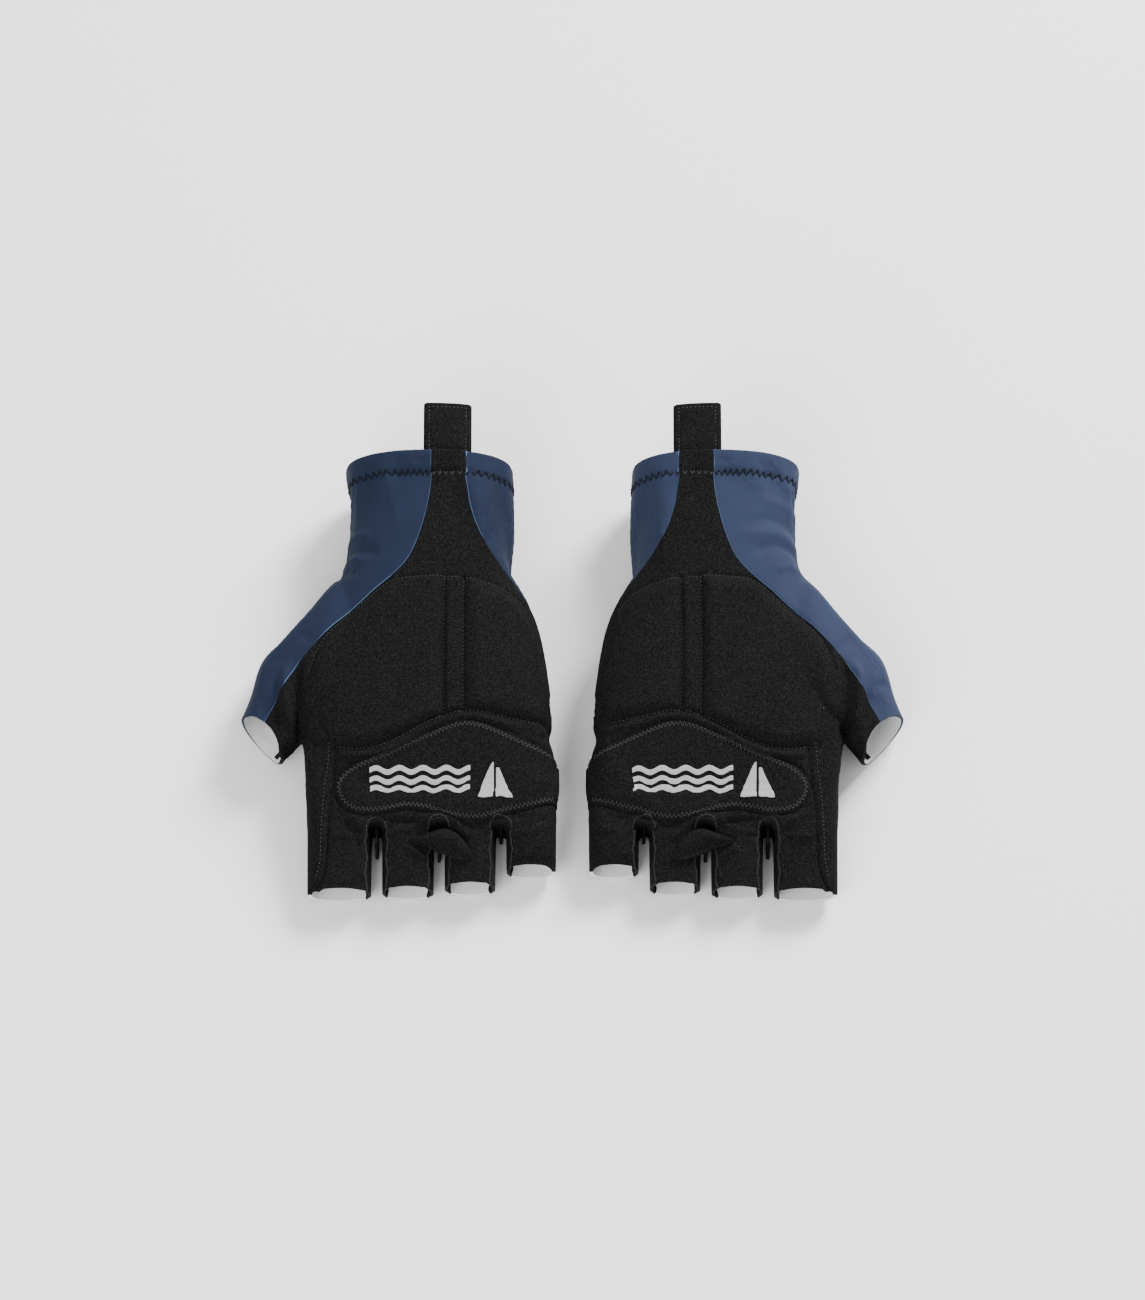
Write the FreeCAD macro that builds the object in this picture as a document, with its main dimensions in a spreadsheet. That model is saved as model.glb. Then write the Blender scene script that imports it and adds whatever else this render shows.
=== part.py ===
"""A pair of short-finger gloves lying side by side on their backs, palms up.

Each glove is sewn from a stretch back panel, a suede palm panel with a neck that runs
to the cuff, an index side panel, finger stalls made of strips and side walls, a thumb
stall, foam pads, a turned cuff hem and a pull tab.  Every panel is cut out of the same
nested lofts, so that neighbouring pieces meet face to face.

Frame, in millimetres: +Z up out of the palms, +Y from the fingertips to the cuffs,
+X from the right-hand glove to the left-hand glove.  The origin is under the middle
of the pair, on the surface that it lies on.
"""
import FreeCAD, Part
import math
import os

import Sketcher

OUT_FOLDER = "parts"
VECTOR = FreeCAD.Vector

doc = FreeCAD.newDocument("gloves")
sheet = doc.addObject("Spreadsheet::Sheet", "Sizes")

# Driving dimensions: alias, millimetres, what it is.
SIZES = [
    ("wall", 1.2, "thickness of every fabric panel"),
    ("rest_trim", 0.3, "fabric pressed flat where the glove rests on its back"),
    ("pair_gap", 11.8, "between the two little fingers"),
    ("joint_gap", 0.3, "between pieces that move on each other"),
    ("finger_gap", 1.5, "slot between neighbouring fingers"),
    ("index_width", 24.6, "index stall across"),
    ("middle_width", 21.4, "middle stall across"),
    ("ring_width", 21.2, "ring stall across"),
    ("little_width", 19.6, "little stall across"),
    ("middle_short", 0.8, "middle stall ends short of the index"),
    ("ring_short", 2.4, "ring stall ends short of the index"),
    ("little_short", 9.0, "little stall ends short of the index"),
    ("finger_reach", 25.5, "index stall from its end to the knuckle fold"),
    ("tip_height", 12.8, "stall height at its open end"),
    ("fold_height", 19.0, "height at the knuckle fold"),
    ("strip_side", 3.4, "width of a stall's side walls"),
    ("binding_length", 1.6, "edge binding at each opening, along the stall"),
    ("binding_proud", 0.35, "edge binding above the fabric"),
    ("knuckle_length", 18.5, "knuckle fold to the knuckles"),
    ("knuckle_height", 27.0, "height at the knuckles"),
    ("palm_length", 18.0, "knuckles to the middle of the palm"),
    ("palm_height", 31.0, "height at the middle of the palm"),
    ("palm_bulge", 0.9, "palm wider than the fingers, each side"),
    ("heel_length", 28.0, "middle of the palm to the heel of the hand"),
    ("heel_height", 35.0, "height at the heel of the hand"),
    ("heel_width", 86.6, "across the heel of the hand"),
    ("heel_shift", 4.0, "heel's middle towards the thumb"),
    ("root_length", 22.0, "heel to the root of the thumb"),
    ("root_height", 37.5, "height at the root of the thumb"),
    ("root_width", 73.0, "across the root of the thumb"),
    ("root_shift", 3.2, "its middle towards the thumb"),
    ("wrist_length", 18.0, "root of the thumb to the wrist"),
    ("wrist_height", 40.0, "height at the wrist"),
    ("wrist_width", 63.0, "across the wrist"),
    ("wrist_shift", 2.2, "wrist's middle towards the thumb"),
    ("cuff_length", 32.0, "wrist to the cuff's rim"),
    ("rim_height", 42.0, "height at the rim"),
    ("rim_width", 62.4, "across the rim"),
    ("corner_share", 0.46, "corner radius over the smaller side of a section"),
    ("hem_length", 7.0, "turned hem, from the rim"),
    ("hem_wall", 1.0, "thickness of the turned layer"),
    ("tab_width", 17.6, "pull tab across"),
    ("tab_thick", 2.2, "pull tab, two layers sewn flat"),
    ("tab_reach", 21.0, "pull tab beyond the rim"),
    ("tab_recess", 0.5, "sewn root of the tab inside the rim"),
    ("tab_seat", 0.6, "free tab below the turned layer it is sewn to"),
    ("tab_corner", 1.0, "rounding of the tab's corners"),
    ("neck_width", 12.4, "neck of the palm panel at the cuff"),
    ("neck_shift", 7.4, "neck's middle from the cuff's, to the little finger"),
    ("side_level", 8.0, "height where the palm panel meets the back panel"),
    ("pad_thick", 3.0, "foam pads in the heel of the hand"),
    ("pad_channel", 7.1, "quilted channel between the two foam pads"),
    ("pad_edge", 2.6, "foam pad's edge to the panel's"),
    ("patch_thick", 1.4, "knuckle pad above the palm panel"),
    ("print_thick", 0.4, "grip print above the knuckle pad"),
    ("print_reach", 52.0, "grip print, along the knuckles"),
    ("wave_pitch", 3.4, "between the waves of the grip print"),
    ("wave_band", 1.5, "width of one wave"),
    ("wave_height", 0.8, "half of a wave's swing"),
    ("print_drop", 5.0, "print's middle from the knuckles, to the fingers"),
    ("mark_size", 12.5, "two-sail mark of the print, each way"),
    ("thumb_base_height", 26.0, "thumb stall's height at its base"),
    ("thumb_mid_height", 27.0, "thumb stall's height at its first third"),
    ("thumb_neck_height", 25.0, "thumb stall's height at its second third"),
    ("thumb_tip_height", 21.0, "thumb stall's height at its opening"),
    ("thumb_width", 23.0, "thumb opening across"),
    ("thumb_reach", 25.5, "thumb opening's outer corner beyond the index side"),
    ("thumb_drop", 8.4, "that corner above the thumb's crotch"),
    ("thumb_splay", 46.0, "degrees from the opening's width to the fingers' row"),
    ("web_width", 5.0, "width of the webs between the fingers"),
]
for row, (alias, value, note) in enumerate(SIZES, start=1):
    sheet.set("A%d" % row, alias)
    sheet.set("B%d" % row, repr(value))
    sheet.set("C%d" % row, note)
    sheet.setAlias("B%d" % row, alias)
doc.recompute()

# Places that follow from the driving dimensions: alias and formula over the aliases.
FOLLOWING = [
    ("y_fold", "finger_reach"),
    ("y_knuckle", "y_fold + knuckle_length"),
    ("y_palm", "y_knuckle + palm_length"),
    ("y_heel", "y_palm + heel_length"),
    ("y_root", "y_heel + root_length"),
    ("y_wrist", "y_root + wrist_length"),
    ("y_rim", "y_wrist + cuff_length"),
    ("y_shift", "-(y_rim + tab_reach) / 2"),
    ("palm_width", "index_width + middle_width + ring_width + little_width + 3 * finger_gap"),
    ("x_ulnar", "-pair_gap / 2"),
    ("x_radial", "x_ulnar - palm_width"),
    ("x_middle", "(x_ulnar + x_radial) / 2"),
    ("x_rim", "x_middle - wrist_shift"),
    ("x_neck", "x_rim + neck_shift"),
    ("x_little", "x_ulnar - little_width / 2"),
    ("x_ring", "x_ulnar - little_width - finger_gap - ring_width / 2"),
    ("x_middle_finger", "x_radial + index_width + finger_gap + middle_width / 2"),
    ("x_index", "x_radial + index_width / 2"),
    ("tab_top", "rim_height - wall - hem_wall - tab_seat"),
]
first = len(SIZES) + 2
for row, (alias, formula) in enumerate(FOLLOWING, start=first):
    sheet.set("A%d" % row, alias)
    sheet.set("B%d" % row, "=" + formula)
    sheet.setAlias("B%d" % row, alias)
    doc.recompute()


def size(alias):
    """A cell's value in millimetres."""
    return float(sheet.get(alias))


def bind(item, prop, formula):
    """Binds a property to a formula over the sheet's aliases, given in braces."""
    item.setExpression(prop, formula.replace("{", "Sizes.").replace("}", ""))


# ---------------------------------------------------------------- sections and lofts

def rounded_section(name, width, height, inset):
    """A rounded rectangle about the sketch's origin.  All three are formulas."""
    sketch = doc.addObject("Sketcher::SketchObject", name)
    half_w, half_h, radius = 20.0, 8.0, 5.0
    a, b = half_w - radius, half_h - radius
    quarter = math.pi / 2
    corners = [(a, b, 0.0), (-a, b, quarter), (-a, -b, 2 * quarter), (a, -b, 3 * quarter)]
    for x, y, start in corners:
        circle = Part.Circle(VECTOR(x, y, 0), VECTOR(0, 0, 1), radius)
        sketch.addGeometry(Part.ArcOfCircle(circle, start, start + quarter), False)
    sides = [
        (VECTOR(a, half_h, 0), VECTOR(-a, half_h, 0)),
        (VECTOR(-half_w, b, 0), VECTOR(-half_w, -b, 0)),
        (VECTOR(-a, -half_h, 0), VECTOR(a, -half_h, 0)),
        (VECTOR(half_w, -b, 0), VECTOR(half_w, b, 0)),
    ]
    for begin, end in sides:
        sketch.addGeometry(Part.LineSegment(begin, end), False)
    for n in range(4):
        sketch.addConstraint(Sketcher.Constraint("Tangent", n, 2, 4 + n, 1))
        sketch.addConstraint(Sketcher.Constraint("Tangent", 4 + n, 2, (n + 1) % 4, 1))
    for n in range(1, 4):
        sketch.addConstraint(Sketcher.Constraint("Equal", 0, n))
    sketch.addConstraint(Sketcher.Constraint("Horizontal", 0, 3, 1, 3))
    sketch.addConstraint(Sketcher.Constraint("Vertical", 1, 3, 2, 3))
    sketch.addConstraint(Sketcher.Constraint("Symmetric", 0, 3, 2, 3, -1, 1))
    sketch.addConstraint(Sketcher.Constraint("Symmetric", 1, 3, 3, 3, -1, 1))
    corner = "{corner_share} * min(%s; %s)" % (width, height)
    formulas = [
        (Sketcher.Constraint("DistanceX", -1, 1, 0, 3, a), "half_flat", "(%s) / 2 - %s" % (width, corner)),
        (Sketcher.Constraint("DistanceY", -1, 1, 0, 3, b), "half_rise", "(%s) / 2 - %s" % (height, corner)),
        (Sketcher.Constraint("Radius", 0, radius), "corner", "%s - (%s)" % (corner, inset)),
    ]
    for constraint, label, formula in formulas:
        index = sketch.addConstraint(constraint)
        sketch.renameConstraint(index, label)
        bind(sketch, "Constraints.%s" % label, formula)
    return sketch


def upright_section(name, width, height, x, y, inset, floor="0"):
    """A section that faces along Y, standing on the floor level."""
    sketch = rounded_section(name, width, height, inset)
    sketch.Placement = FreeCAD.Placement(VECTOR(), FreeCAD.Rotation(VECTOR(1, 0, 0), 90))
    bind(sketch, "Placement.Base.x", x)
    bind(sketch, "Placement.Base.y", "%s + {y_shift}" % y)
    bind(sketch, "Placement.Base.z", "(%s) / 2 + %s" % (height, floor))
    return sketch


def loft(name, sections, ruled=False):
    """A solid through the sections, in order."""
    item = doc.addObject("Part::Loft", name)
    item.Sections = sections
    item.Solid = True
    item.Ruled = ruled
    return item


def cut(name, base, tool):
    """base without tool."""
    item = doc.addObject("Part::Cut", name)
    item.Base, item.Tool, item.Refine = base, tool, False
    return item


def common(name, base, tool):
    """What base and tool share."""
    item = doc.addObject("Part::Common", name)
    item.Base, item.Tool, item.Refine = base, tool, False
    return item


def fuse(name, pieces):
    """The pieces as one."""
    item = doc.addObject("Part::MultiFuse", name)
    item.Shapes, item.Refine = pieces, False
    return item


def block(name, x, y, z, length, width, height):
    """A box whose low corner and sides are formulas."""
    item = doc.addObject("Part::Box", name)
    bind(item, "Length", length)
    bind(item, "Width", width)
    bind(item, "Height", height)
    bind(item, "Placement.Base.x", x)
    bind(item, "Placement.Base.y", "%s + {y_shift}" % y)
    bind(item, "Placement.Base.z", z)
    return item


def prism(name, outline, low, high):
    """An upright prism over a plan outline: a list of runs of points.  Each run is a
    smooth curve through its points, or straight where it has two, and each run starts
    where the last one ended."""
    edges = []
    for run in outline:
        points = [VECTOR(x, y + size("y_shift"), low) for x, y in run]
        if len(points) == 2:
            edges.append(Part.LineSegment(*points).toShape())
        else:
            curve = Part.BSplineCurve()
            curve.interpolate(points)
            edges.append(curve.toShape())
    face = doc.addObject("Part::Feature", name + "_outline")
    face.Shape = Part.Face(Part.Wire(edges))
    item = doc.addObject("Part::Extrusion", name)
    item.Base = face
    item.DirMode = "Custom"
    item.Dir = VECTOR(0, 0, 1)
    item.LengthFwd = high - low
    item.Solid = True
    return item


# ------------------------------------------------------------------ the hand's tube

# Stations of the tube from the knuckle fold to the rim: name, y, width, height, middle x.
STATIONS = [
    ("fold", "{y_fold}", "{palm_width}", "{fold_height}", "{x_middle}"),
    ("knuckle", "{y_knuckle}", "{palm_width} + {palm_bulge}", "{knuckle_height}", "{x_middle}"),
    ("palm", "{y_palm}", "{palm_width}", "{palm_height}", "{x_middle} - {palm_bulge}"),
    ("heel", "{y_heel}", "{heel_width}", "{heel_height}", "{x_middle} - {heel_shift}"),
    ("root", "{y_root}", "{root_width}", "{root_height}", "{x_middle} - {root_shift}"),
    ("wrist", "{y_wrist}", "{wrist_width}", "{wrist_height}", "{x_middle} - {wrist_shift}"),
    ("rim", "{y_rim}", "{rim_width}", "{rim_height}", "{x_rim}"),
]


def hand_tube(layer, inset):
    """The hand's tube, drawn in from its outside by inset."""
    return loft(layer, [
        upright_section("%s_%s" % (layer, name), width, height + " + {rest_trim}", x, y, inset,
                        "(-{rest_trim})")
        for name, y, width, height, x in STATIONS
    ])


def thumb_corners():
    """Outer and inner plan points of the thumb stall's four sections, base first."""
    crotch = (size("x_radial") - 1.4, size("y_palm") - 2.9)
    shoulder = (crotch[0] + 12.6, size("y_root") + 11.0)
    outer_x = size("x_radial") - size("thumb_reach")
    outer_y = crotch[1] + size("thumb_drop")
    splay = math.radians(size("thumb_splay"))
    inner = (outer_x + size("thumb_width") * math.cos(splay),
             outer_y - size("thumb_width") * math.sin(splay))
    outer_third = (shoulder[0] * 0.64 + outer_x * 0.36, shoulder[1] * 0.70 + outer_y * 0.30)
    outer_two = (shoulder[0] * 0.26 + outer_x * 0.74, shoulder[1] * 0.40 + outer_y * 0.60)
    inner_third = (crotch[0] * 0.80 + inner[0] * 0.20, crotch[1] * 0.74 + inner[1] * 0.26)
    inner_two = (crotch[0] * 0.44 + inner[0] * 0.56, crotch[1] * 0.42 + inner[1] * 0.58)
    return [
        (shoulder, crotch, "thumb_base_height", 4.0),
        (outer_third, inner_third, "thumb_mid_height", 2.0),
        (outer_two, inner_two, "thumb_neck_height", 0.6),
        ((outer_x, outer_y), inner, "thumb_tip_height", 0.6),
    ]


def thumb_section(name, corners, inset):
    """An upright section across the thumb stall, from its outer to its inner corner."""
    outer, inner, height, floor = corners
    across = VECTOR(inner[0] - outer[0], inner[1] - outer[1], 0)
    sketch = rounded_section(name, repr(across.Length), "{%s}" % height, repr(inset))
    middle = VECTOR((outer[0] + inner[0]) / 2, (outer[1] + inner[1]) / 2 + size("y_shift"),
                    floor + size(height) / 2)
    turn = FreeCAD.Rotation(VECTOR(0, 0, 1), math.degrees(math.atan2(across.y, across.x)))
    sketch.Placement = FreeCAD.Placement(middle, turn * FreeCAD.Rotation(VECTOR(1, 0, 0), 90))
    return sketch


def thumb_tube(layer, inset):
    """The thumb stall's tube, drawn in by inset and clear of the hand's base plane."""
    corners = thumb_corners()
    (shoulder, crotch, _, _) = corners[0]
    along = VECTOR(crotch[0] - shoulder[0], crotch[1] - shoulder[1], 0).normalize()
    away = VECTOR(along.y, -along.x, 0) * size("joint_gap")
    if away.x > 0:
        away = -away
    base = tuple((p[0] + away.x, p[1] + away.y) for p in corners[0][:2]) + corners[0][2:]
    return loft(layer, [
        thumb_section("%s_section_%d" % (layer, n), c, inset)
        for n, c in enumerate([base] + corners[1:])
    ], ruled=True)


outer_tube = hand_tube("outer_tube", "0")
inner_tube = hand_tube("inner_tube", "{wall}")
pad_tube = hand_tube("pad_tube", "{wall} + {pad_thick}")
hem_tube = hand_tube("hem_tube", "{wall} + {hem_wall}")
patch_tube = hand_tube("patch_tube", "-{patch_thick}")
print_tube = hand_tube("print_tube", "-{patch_thick} - {print_thick}")
thumb_outer = thumb_tube("thumb_outer", 0.0)
thumb_inner = thumb_tube("thumb_inner", size("wall"))
thumb_edge = thumb_tube("thumb_edge", -size("binding_proud"))
doc.recompute()

# The base plane of the thumb: what the hand's tube has beyond it is left out.
(SHOULDER, CROTCH, _, _), _, THUMB_NECK, THUMB_TIP = thumb_corners()
BEYOND = size("x_radial") - 3 * size("thumb_reach")
thumb_side = prism("thumb_side", [
    [SHOULDER, CROTCH], [CROTCH, (BEYOND, CROTCH[1])],
    [(BEYOND, CROTCH[1]), (BEYOND, SHOULDER[1])], [(BEYOND, SHOULDER[1]), SHOULDER],
], -5, 60)

# ----------------------------------------------------------- plan outlines of panels

NECK_LEFT = size("x_neck") - size("neck_width") / 2
NECK_RIGHT = size("x_neck") + size("neck_width") / 2
PAST_RIM = size("y_rim") + 5
Y_FOLD, Y_KNUCKLE, Y_PALM = size("y_fold"), size("y_knuckle"), size("y_palm")
Y_HEEL, Y_ROOT, Y_WRIST, Y_RIM = size("y_heel"), size("y_root"), size("y_wrist"), size("y_rim")
X_RADIAL, X_ULNAR = size("x_radial"), size("x_ulnar")
OUT_RIGHT = X_ULNAR + 5
TIP_OUTER, TIP_INNER = THUMB_TIP[0], THUMB_TIP[1]


def between(p, q, share):
    """The point a share of the way from p to q."""
    return (p[0] + (q[0] - p[0]) * share, p[1] + (q[1] - p[1]) * share)


# Seam between the blue back panel and the palm panel on the thumb's side, rim first.
radial_seam = [
    (NECK_LEFT, Y_RIM - 12),
    (NECK_LEFT - 2.6, Y_WRIST + 7),
    (NECK_LEFT - 8.0, Y_WRIST - 6),
    (NECK_LEFT - 15.5, Y_ROOT + 3),
    (SHOULDER[0] + 8.4, Y_HEEL + 16.5),
    (SHOULDER[0] - 2.2, Y_HEEL + 7.5),
    (SHOULDER[0] - 11.0, Y_HEEL - 1.0),
    between(THUMB_NECK[0], THUMB_NECK[1], 0.43),
    between(TIP_OUTER, TIP_INNER, 0.50),
]
# The same seam on the little finger's side, ending beyond the hand's edge.
ulnar_seam = [
    (NECK_RIGHT, Y_RIM - 8),
    (NECK_RIGHT + 1.8, Y_WRIST + 11),
    (NECK_RIGHT + 6.6, Y_WRIST),
    (NECK_RIGHT + 13.0, Y_ROOT + 9.5),
    (NECK_RIGHT + 20.5, Y_ROOT + 1.5),
    (NECK_RIGHT + 27.5, Y_ROOT - 8),
]
index_seam = [
    (X_RADIAL + 9.6, Y_PALM - 5),
    (X_RADIAL + 8.6, Y_KNUCKLE),
    (X_RADIAL + 7.2, Y_FOLD - 5),
]
tip_past = (radial_seam[-1][0] - 6, radial_seam[-1][1] - 6)
index_top = (X_RADIAL - 3, Y_PALM - 2.0)
palm_outline = [
    [(NECK_LEFT, PAST_RIM), radial_seam[0]],
    radial_seam,
    [radial_seam[-1], tip_past],
    [tip_past, (X_RADIAL - 9, Y_KNUCKLE - 4)],
    [(X_RADIAL - 9, Y_KNUCKLE - 4), index_top],
    [index_top, index_seam[0]],
    index_seam,
    [index_seam[-1], (OUT_RIGHT, Y_FOLD - 5)],
    [(OUT_RIGHT, Y_FOLD - 5), ulnar_seam[-1]],
    ulnar_seam[::-1],
    [ulnar_seam[0], (NECK_RIGHT, PAST_RIM)],
    [(NECK_RIGHT, PAST_RIM), (NECK_LEFT, PAST_RIM)],
]
index_outline = [
    [index_top, index_seam[0]],
    index_seam,
    [index_seam[-1], (X_RADIAL - 4, Y_FOLD - 5)],
    [(X_RADIAL - 4, Y_FOLD - 5), index_top],
]
CHANNEL = size("x_neck") + 2.3
thenar_outline = [
    [(CHANNEL - size("pad_channel") / 2, Y_HEEL - 29), (CHANNEL - size("pad_channel") / 2, Y_ROOT + 2.5)],
    [(CHANNEL - size("pad_channel") / 2, Y_ROOT + 2.5), (NECK_LEFT - 13, Y_ROOT + 2.5)],
    [(NECK_LEFT - 13, Y_ROOT + 2.5), (SHOULDER[0] + 2, Y_HEEL + 6), (CROTCH[0] + 7, Y_PALM + 8),
     (CROTCH[0] + 8, Y_PALM - 9)],
    [(CROTCH[0] + 8, Y_PALM - 9), (CROTCH[0] + 20, Y_PALM - 12),
     (CHANNEL - size("pad_channel") / 2 - 12, Y_HEEL - 34),
     (CHANNEL - size("pad_channel") / 2, Y_HEEL - 29)],
]
hypothenar_outline = [
    [(CHANNEL + size("pad_channel") / 2, Y_ROOT + 2.5), (CHANNEL + size("pad_channel") / 2, Y_HEEL - 28)],
    [(CHANNEL + size("pad_channel") / 2, Y_HEEL - 28), (X_ULNAR - 26, Y_HEEL - 27),
     (X_ULNAR - 2, Y_HEEL - 30)],
    [(X_ULNAR - 2, Y_HEEL - 30), (X_ULNAR - 2, Y_HEEL), (X_ULNAR - 11, Y_HEEL + 14),
     (X_ULNAR - 19, Y_ROOT + 1), (CHANNEL + size("pad_channel") / 2, Y_ROOT + 2.5)],
]
knuckle_outline = [
    [(X_ULNAR + 4, Y_PALM - 10), (X_ULNAR - 21, Y_PALM - 4), (X_ULNAR - 32, Y_PALM - 1.2),
     (X_ULNAR - 43, Y_PALM - 3.6), (X_ULNAR - 67, Y_KNUCKLE + 5.4), (X_ULNAR - 77.5, Y_KNUCKLE),
     (X_ULNAR - 79.5, Y_KNUCKLE - 5), (X_ULNAR - 77, Y_KNUCKLE - 10.5),
     (X_ULNAR - 70, Y_KNUCKLE - 13.6)],
    [(X_ULNAR - 70, Y_KNUCKLE - 13.6), (X_ULNAR - 58, Y_KNUCKLE - 13.2),
     (X_ULNAR - 43, Y_KNUCKLE - 16), (X_ULNAR - 30, Y_KNUCKLE - 16.6),
     (X_ULNAR - 19, Y_KNUCKLE - 14), (X_ULNAR + 4, Y_KNUCKLE - 9.5)],
    [(X_ULNAR + 4, Y_KNUCKLE - 9.5), (X_ULNAR + 4, Y_PALM - 10)],
]

TOP = 60
palm_prism = prism("palm_prism", palm_outline, size("side_level"), TOP)
index_prism = prism("index_prism", index_outline, size("side_level"), TOP)
thenar_prism = prism("thenar_prism", thenar_outline, size("palm_height") * 0.55, TOP)
hypothenar_prism = prism("hypothenar_prism", hypothenar_outline, size("palm_height") * 0.55, TOP)
knuckle_prism = prism("knuckle_prism", knuckle_outline, size("knuckle_height") * 0.5, TOP)

# ------------------------------------------------------------- right-hand glove nodes

nodes = []


def node(label, item):
    """Keeps item as the right glove's sub-part of that name."""
    item.Label = "right_" + label
    nodes.append(item)
    return item


hand_shell = cut("hand_shell", cut("hand_wall", outer_tube, inner_tube), thumb_side)
node("palm_panel", common("palm_panel", hand_shell, palm_prism))
node("index_side_panel", common("index_side_panel", hand_shell, index_prism))
below_floor = block("below_floor", "-{pair_gap} - 3 * {palm_width}", "-{y_rim}", "-10",
                    "6 * {palm_width}", "3 * {y_rim}", "10")
back_part = cut("back_part", cut("back_sides", hand_shell, palm_prism), index_prism)
node("back_panel", cut("back_panel", back_part, below_floor))

pad_layer = cut("pad_layer", cut("pad_wall", inner_tube, pad_tube), thumb_side)
node("thenar_pad", common("thenar_pad", pad_layer, thenar_prism))
node("hypothenar_pad", common("hypothenar_pad", pad_layer, hypothenar_prism))

patch_layer = cut("patch_layer", patch_tube, outer_tube)
node("knuckle_pad", common("knuckle_pad", patch_layer, knuckle_prism))

hem_slab = block("hem_slab", "{x_rim} - {rim_width}", "{y_rim} - {hem_length}", "-5",
                 "2 * {rim_width}", "2 * {hem_length}", "{rim_height} + 10")
node("cuff_hem", common("cuff_hem", cut("hem_layer", inner_tube, hem_tube), hem_slab))


def tab_body(name, begin, end):
    """The free strip of the pull tab between two places along Y, as a padded sketch."""
    body = doc.addObject("PartDesign::Body", name)
    sketch = body.newObject("Sketcher::SketchObject", name + "_plan")
    plane = [f for f in body.Origin.OriginFeatures if f.Role == "XY_Plane"][0]
    sketch.AttachmentSupport = [(plane, "")]
    sketch.MapMode = "FlatFace"
    w, length = 17.6, 10.0
    corners = [VECTOR(0, 0, 0), VECTOR(w, 0, 0), VECTOR(w, length, 0), VECTOR(0, length, 0)]
    for n in range(4):
        sketch.addGeometry(Part.LineSegment(corners[n], corners[(n + 1) % 4]), False)
    for n in range(4):
        sketch.addConstraint(Sketcher.Constraint("Coincident", n, 2, (n + 1) % 4, 1))
        way = "Horizontal" if n % 2 == 0 else "Vertical"
        sketch.addConstraint(Sketcher.Constraint(way, n))
    sketch.addConstraint(Sketcher.Constraint("Coincident", 0, 1, -1, 1))
    for kind, line, label, formula in (("DistanceX", 0, "across", "{tab_width}"),
                                       ("DistanceY", 1, "along", "%s - (%s)" % (end, begin))):
        index = sketch.addConstraint(Sketcher.Constraint(kind, line, 1, line, 2, w if line == 0 else length))
        sketch.renameConstraint(index, label)
        bind(sketch, "Constraints.%s" % label, formula)
    pad = body.newObject("PartDesign::Pad", name + "_pad")
    pad.Profile = sketch
    bind(pad, "Length", "{tab_thick}")
    doc.recompute()
    ends = ["Edge%d" % (n + 1) for n, edge in enumerate(pad.Shape.Edges)
            if abs(edge.tangentAt(edge.FirstParameter).z) > 0.99
            and edge.CenterOfMass.y > pad.Shape.BoundBox.YMax - 0.01]
    fillet = body.newObject("PartDesign::Fillet", name + "_corners")
    fillet.Base = (pad, ends)
    bind(fillet, "Radius", "{tab_corner}")
    bind(body, "Placement.Base.x", "{x_neck} - {tab_width} / 2")
    bind(body, "Placement.Base.y", "%s + {y_shift}" % begin)
    bind(body, "Placement.Base.z", "{tab_top} - {tab_thick}")
    return body


root_tube = hand_tube("root_tube", "{wall} + {hem_wall} + {tab_thick}")
root_slab = block("root_slab", "{x_neck} - {tab_width} / 2", "{y_rim} - {hem_length}", "{rim_height} / 2",
                  "{tab_width}", "{hem_length} - {tab_recess}", "{rim_height}")
node("pull_tab_root", common("pull_tab_root", cut("root_layer", hem_tube, root_tube), root_slab))
node("pull_tab", tab_body("pull_tab", "{y_rim} + {joint_gap}", "{y_rim} + {tab_reach}"))

# Finger stalls: name, width, how far it ends short of the index, middle x.
FINGERS = [
    ("index", "{index_width}", "0", "{x_index}"),
    ("middle", "{middle_width}", "{middle_short}", "{x_middle_finger}"),
    ("ring", "{ring_width}", "{ring_short}", "{x_ring}"),
    ("little", "{little_width}", "{little_short}", "{x_little}"),
]


def finger_tube(name, width, short, x, inset):
    """A finger stall's tube from the knuckle fold to its open end."""
    base_y = "{y_fold} - {joint_gap}"
    return loft(name, [
        upright_section(name + "_base", width, "{fold_height} - 0.3", x, base_y, inset),
        upright_section(name + "_mid", width, "({fold_height} + {tip_height}) / 2 - 0.6", x,
                        "({y_fold} + %s) / 2" % short, inset),
        upright_section(name + "_tip", width, "{tip_height}", x, short, inset),
    ])


for finger, width, short, x in FINGERS:
    outside = finger_tube(finger + "_outside", width, short, x, "0")
    inside = finger_tube(finger + "_inside", width, short, x, "{wall}")
    raised = finger_tube(finger + "_raised", width, short, x, "-{binding_proud}")
    stall = cut(finger + "_stall", outside, inside)
    end = block(finger + "_end", "%s - %s" % (x, width), "%s - 5" % short, "-5",
                "2 * %s" % width, "{binding_length} + 5", "{fold_height} + 10")
    above = block(finger + "_above", "%s - %s" % (x, width), "-5", "0",
                  "2 * %s" % width, "{y_fold} + 10", "{fold_height} + 20")
    node(finger + "_binding", common(finger + "_binding",
                                     common(finger + "_edge", cut(finger + "_edge_wall", raised, inside), end),
                                     above))
    open_stall = cut(finger + "_open_stall", stall, end)
    core = block(finger + "_core", "%s - %s / 2 + {strip_side}" % (x, width), "-5", "-5",
                 "%s - 2 * {strip_side}" % width, "{y_fold} + 10", "{fold_height} + 10")
    node(finger + "_side_walls", cut(finger + "_side_walls", open_stall, core))
    strips = common(finger + "_strips", open_stall, core)
    upper = block(finger + "_upper", "%s - %s" % (x, width), "-5", "{tip_height} / 2",
                  "2 * %s" % width, "{y_fold} + 10", "{fold_height}")
    node(finger + "_palm_strip", common(finger + "_palm_strip", strips, upper))
    node(finger + "_back_strip", cut(finger + "_back_strip", strips, upper))

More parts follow.
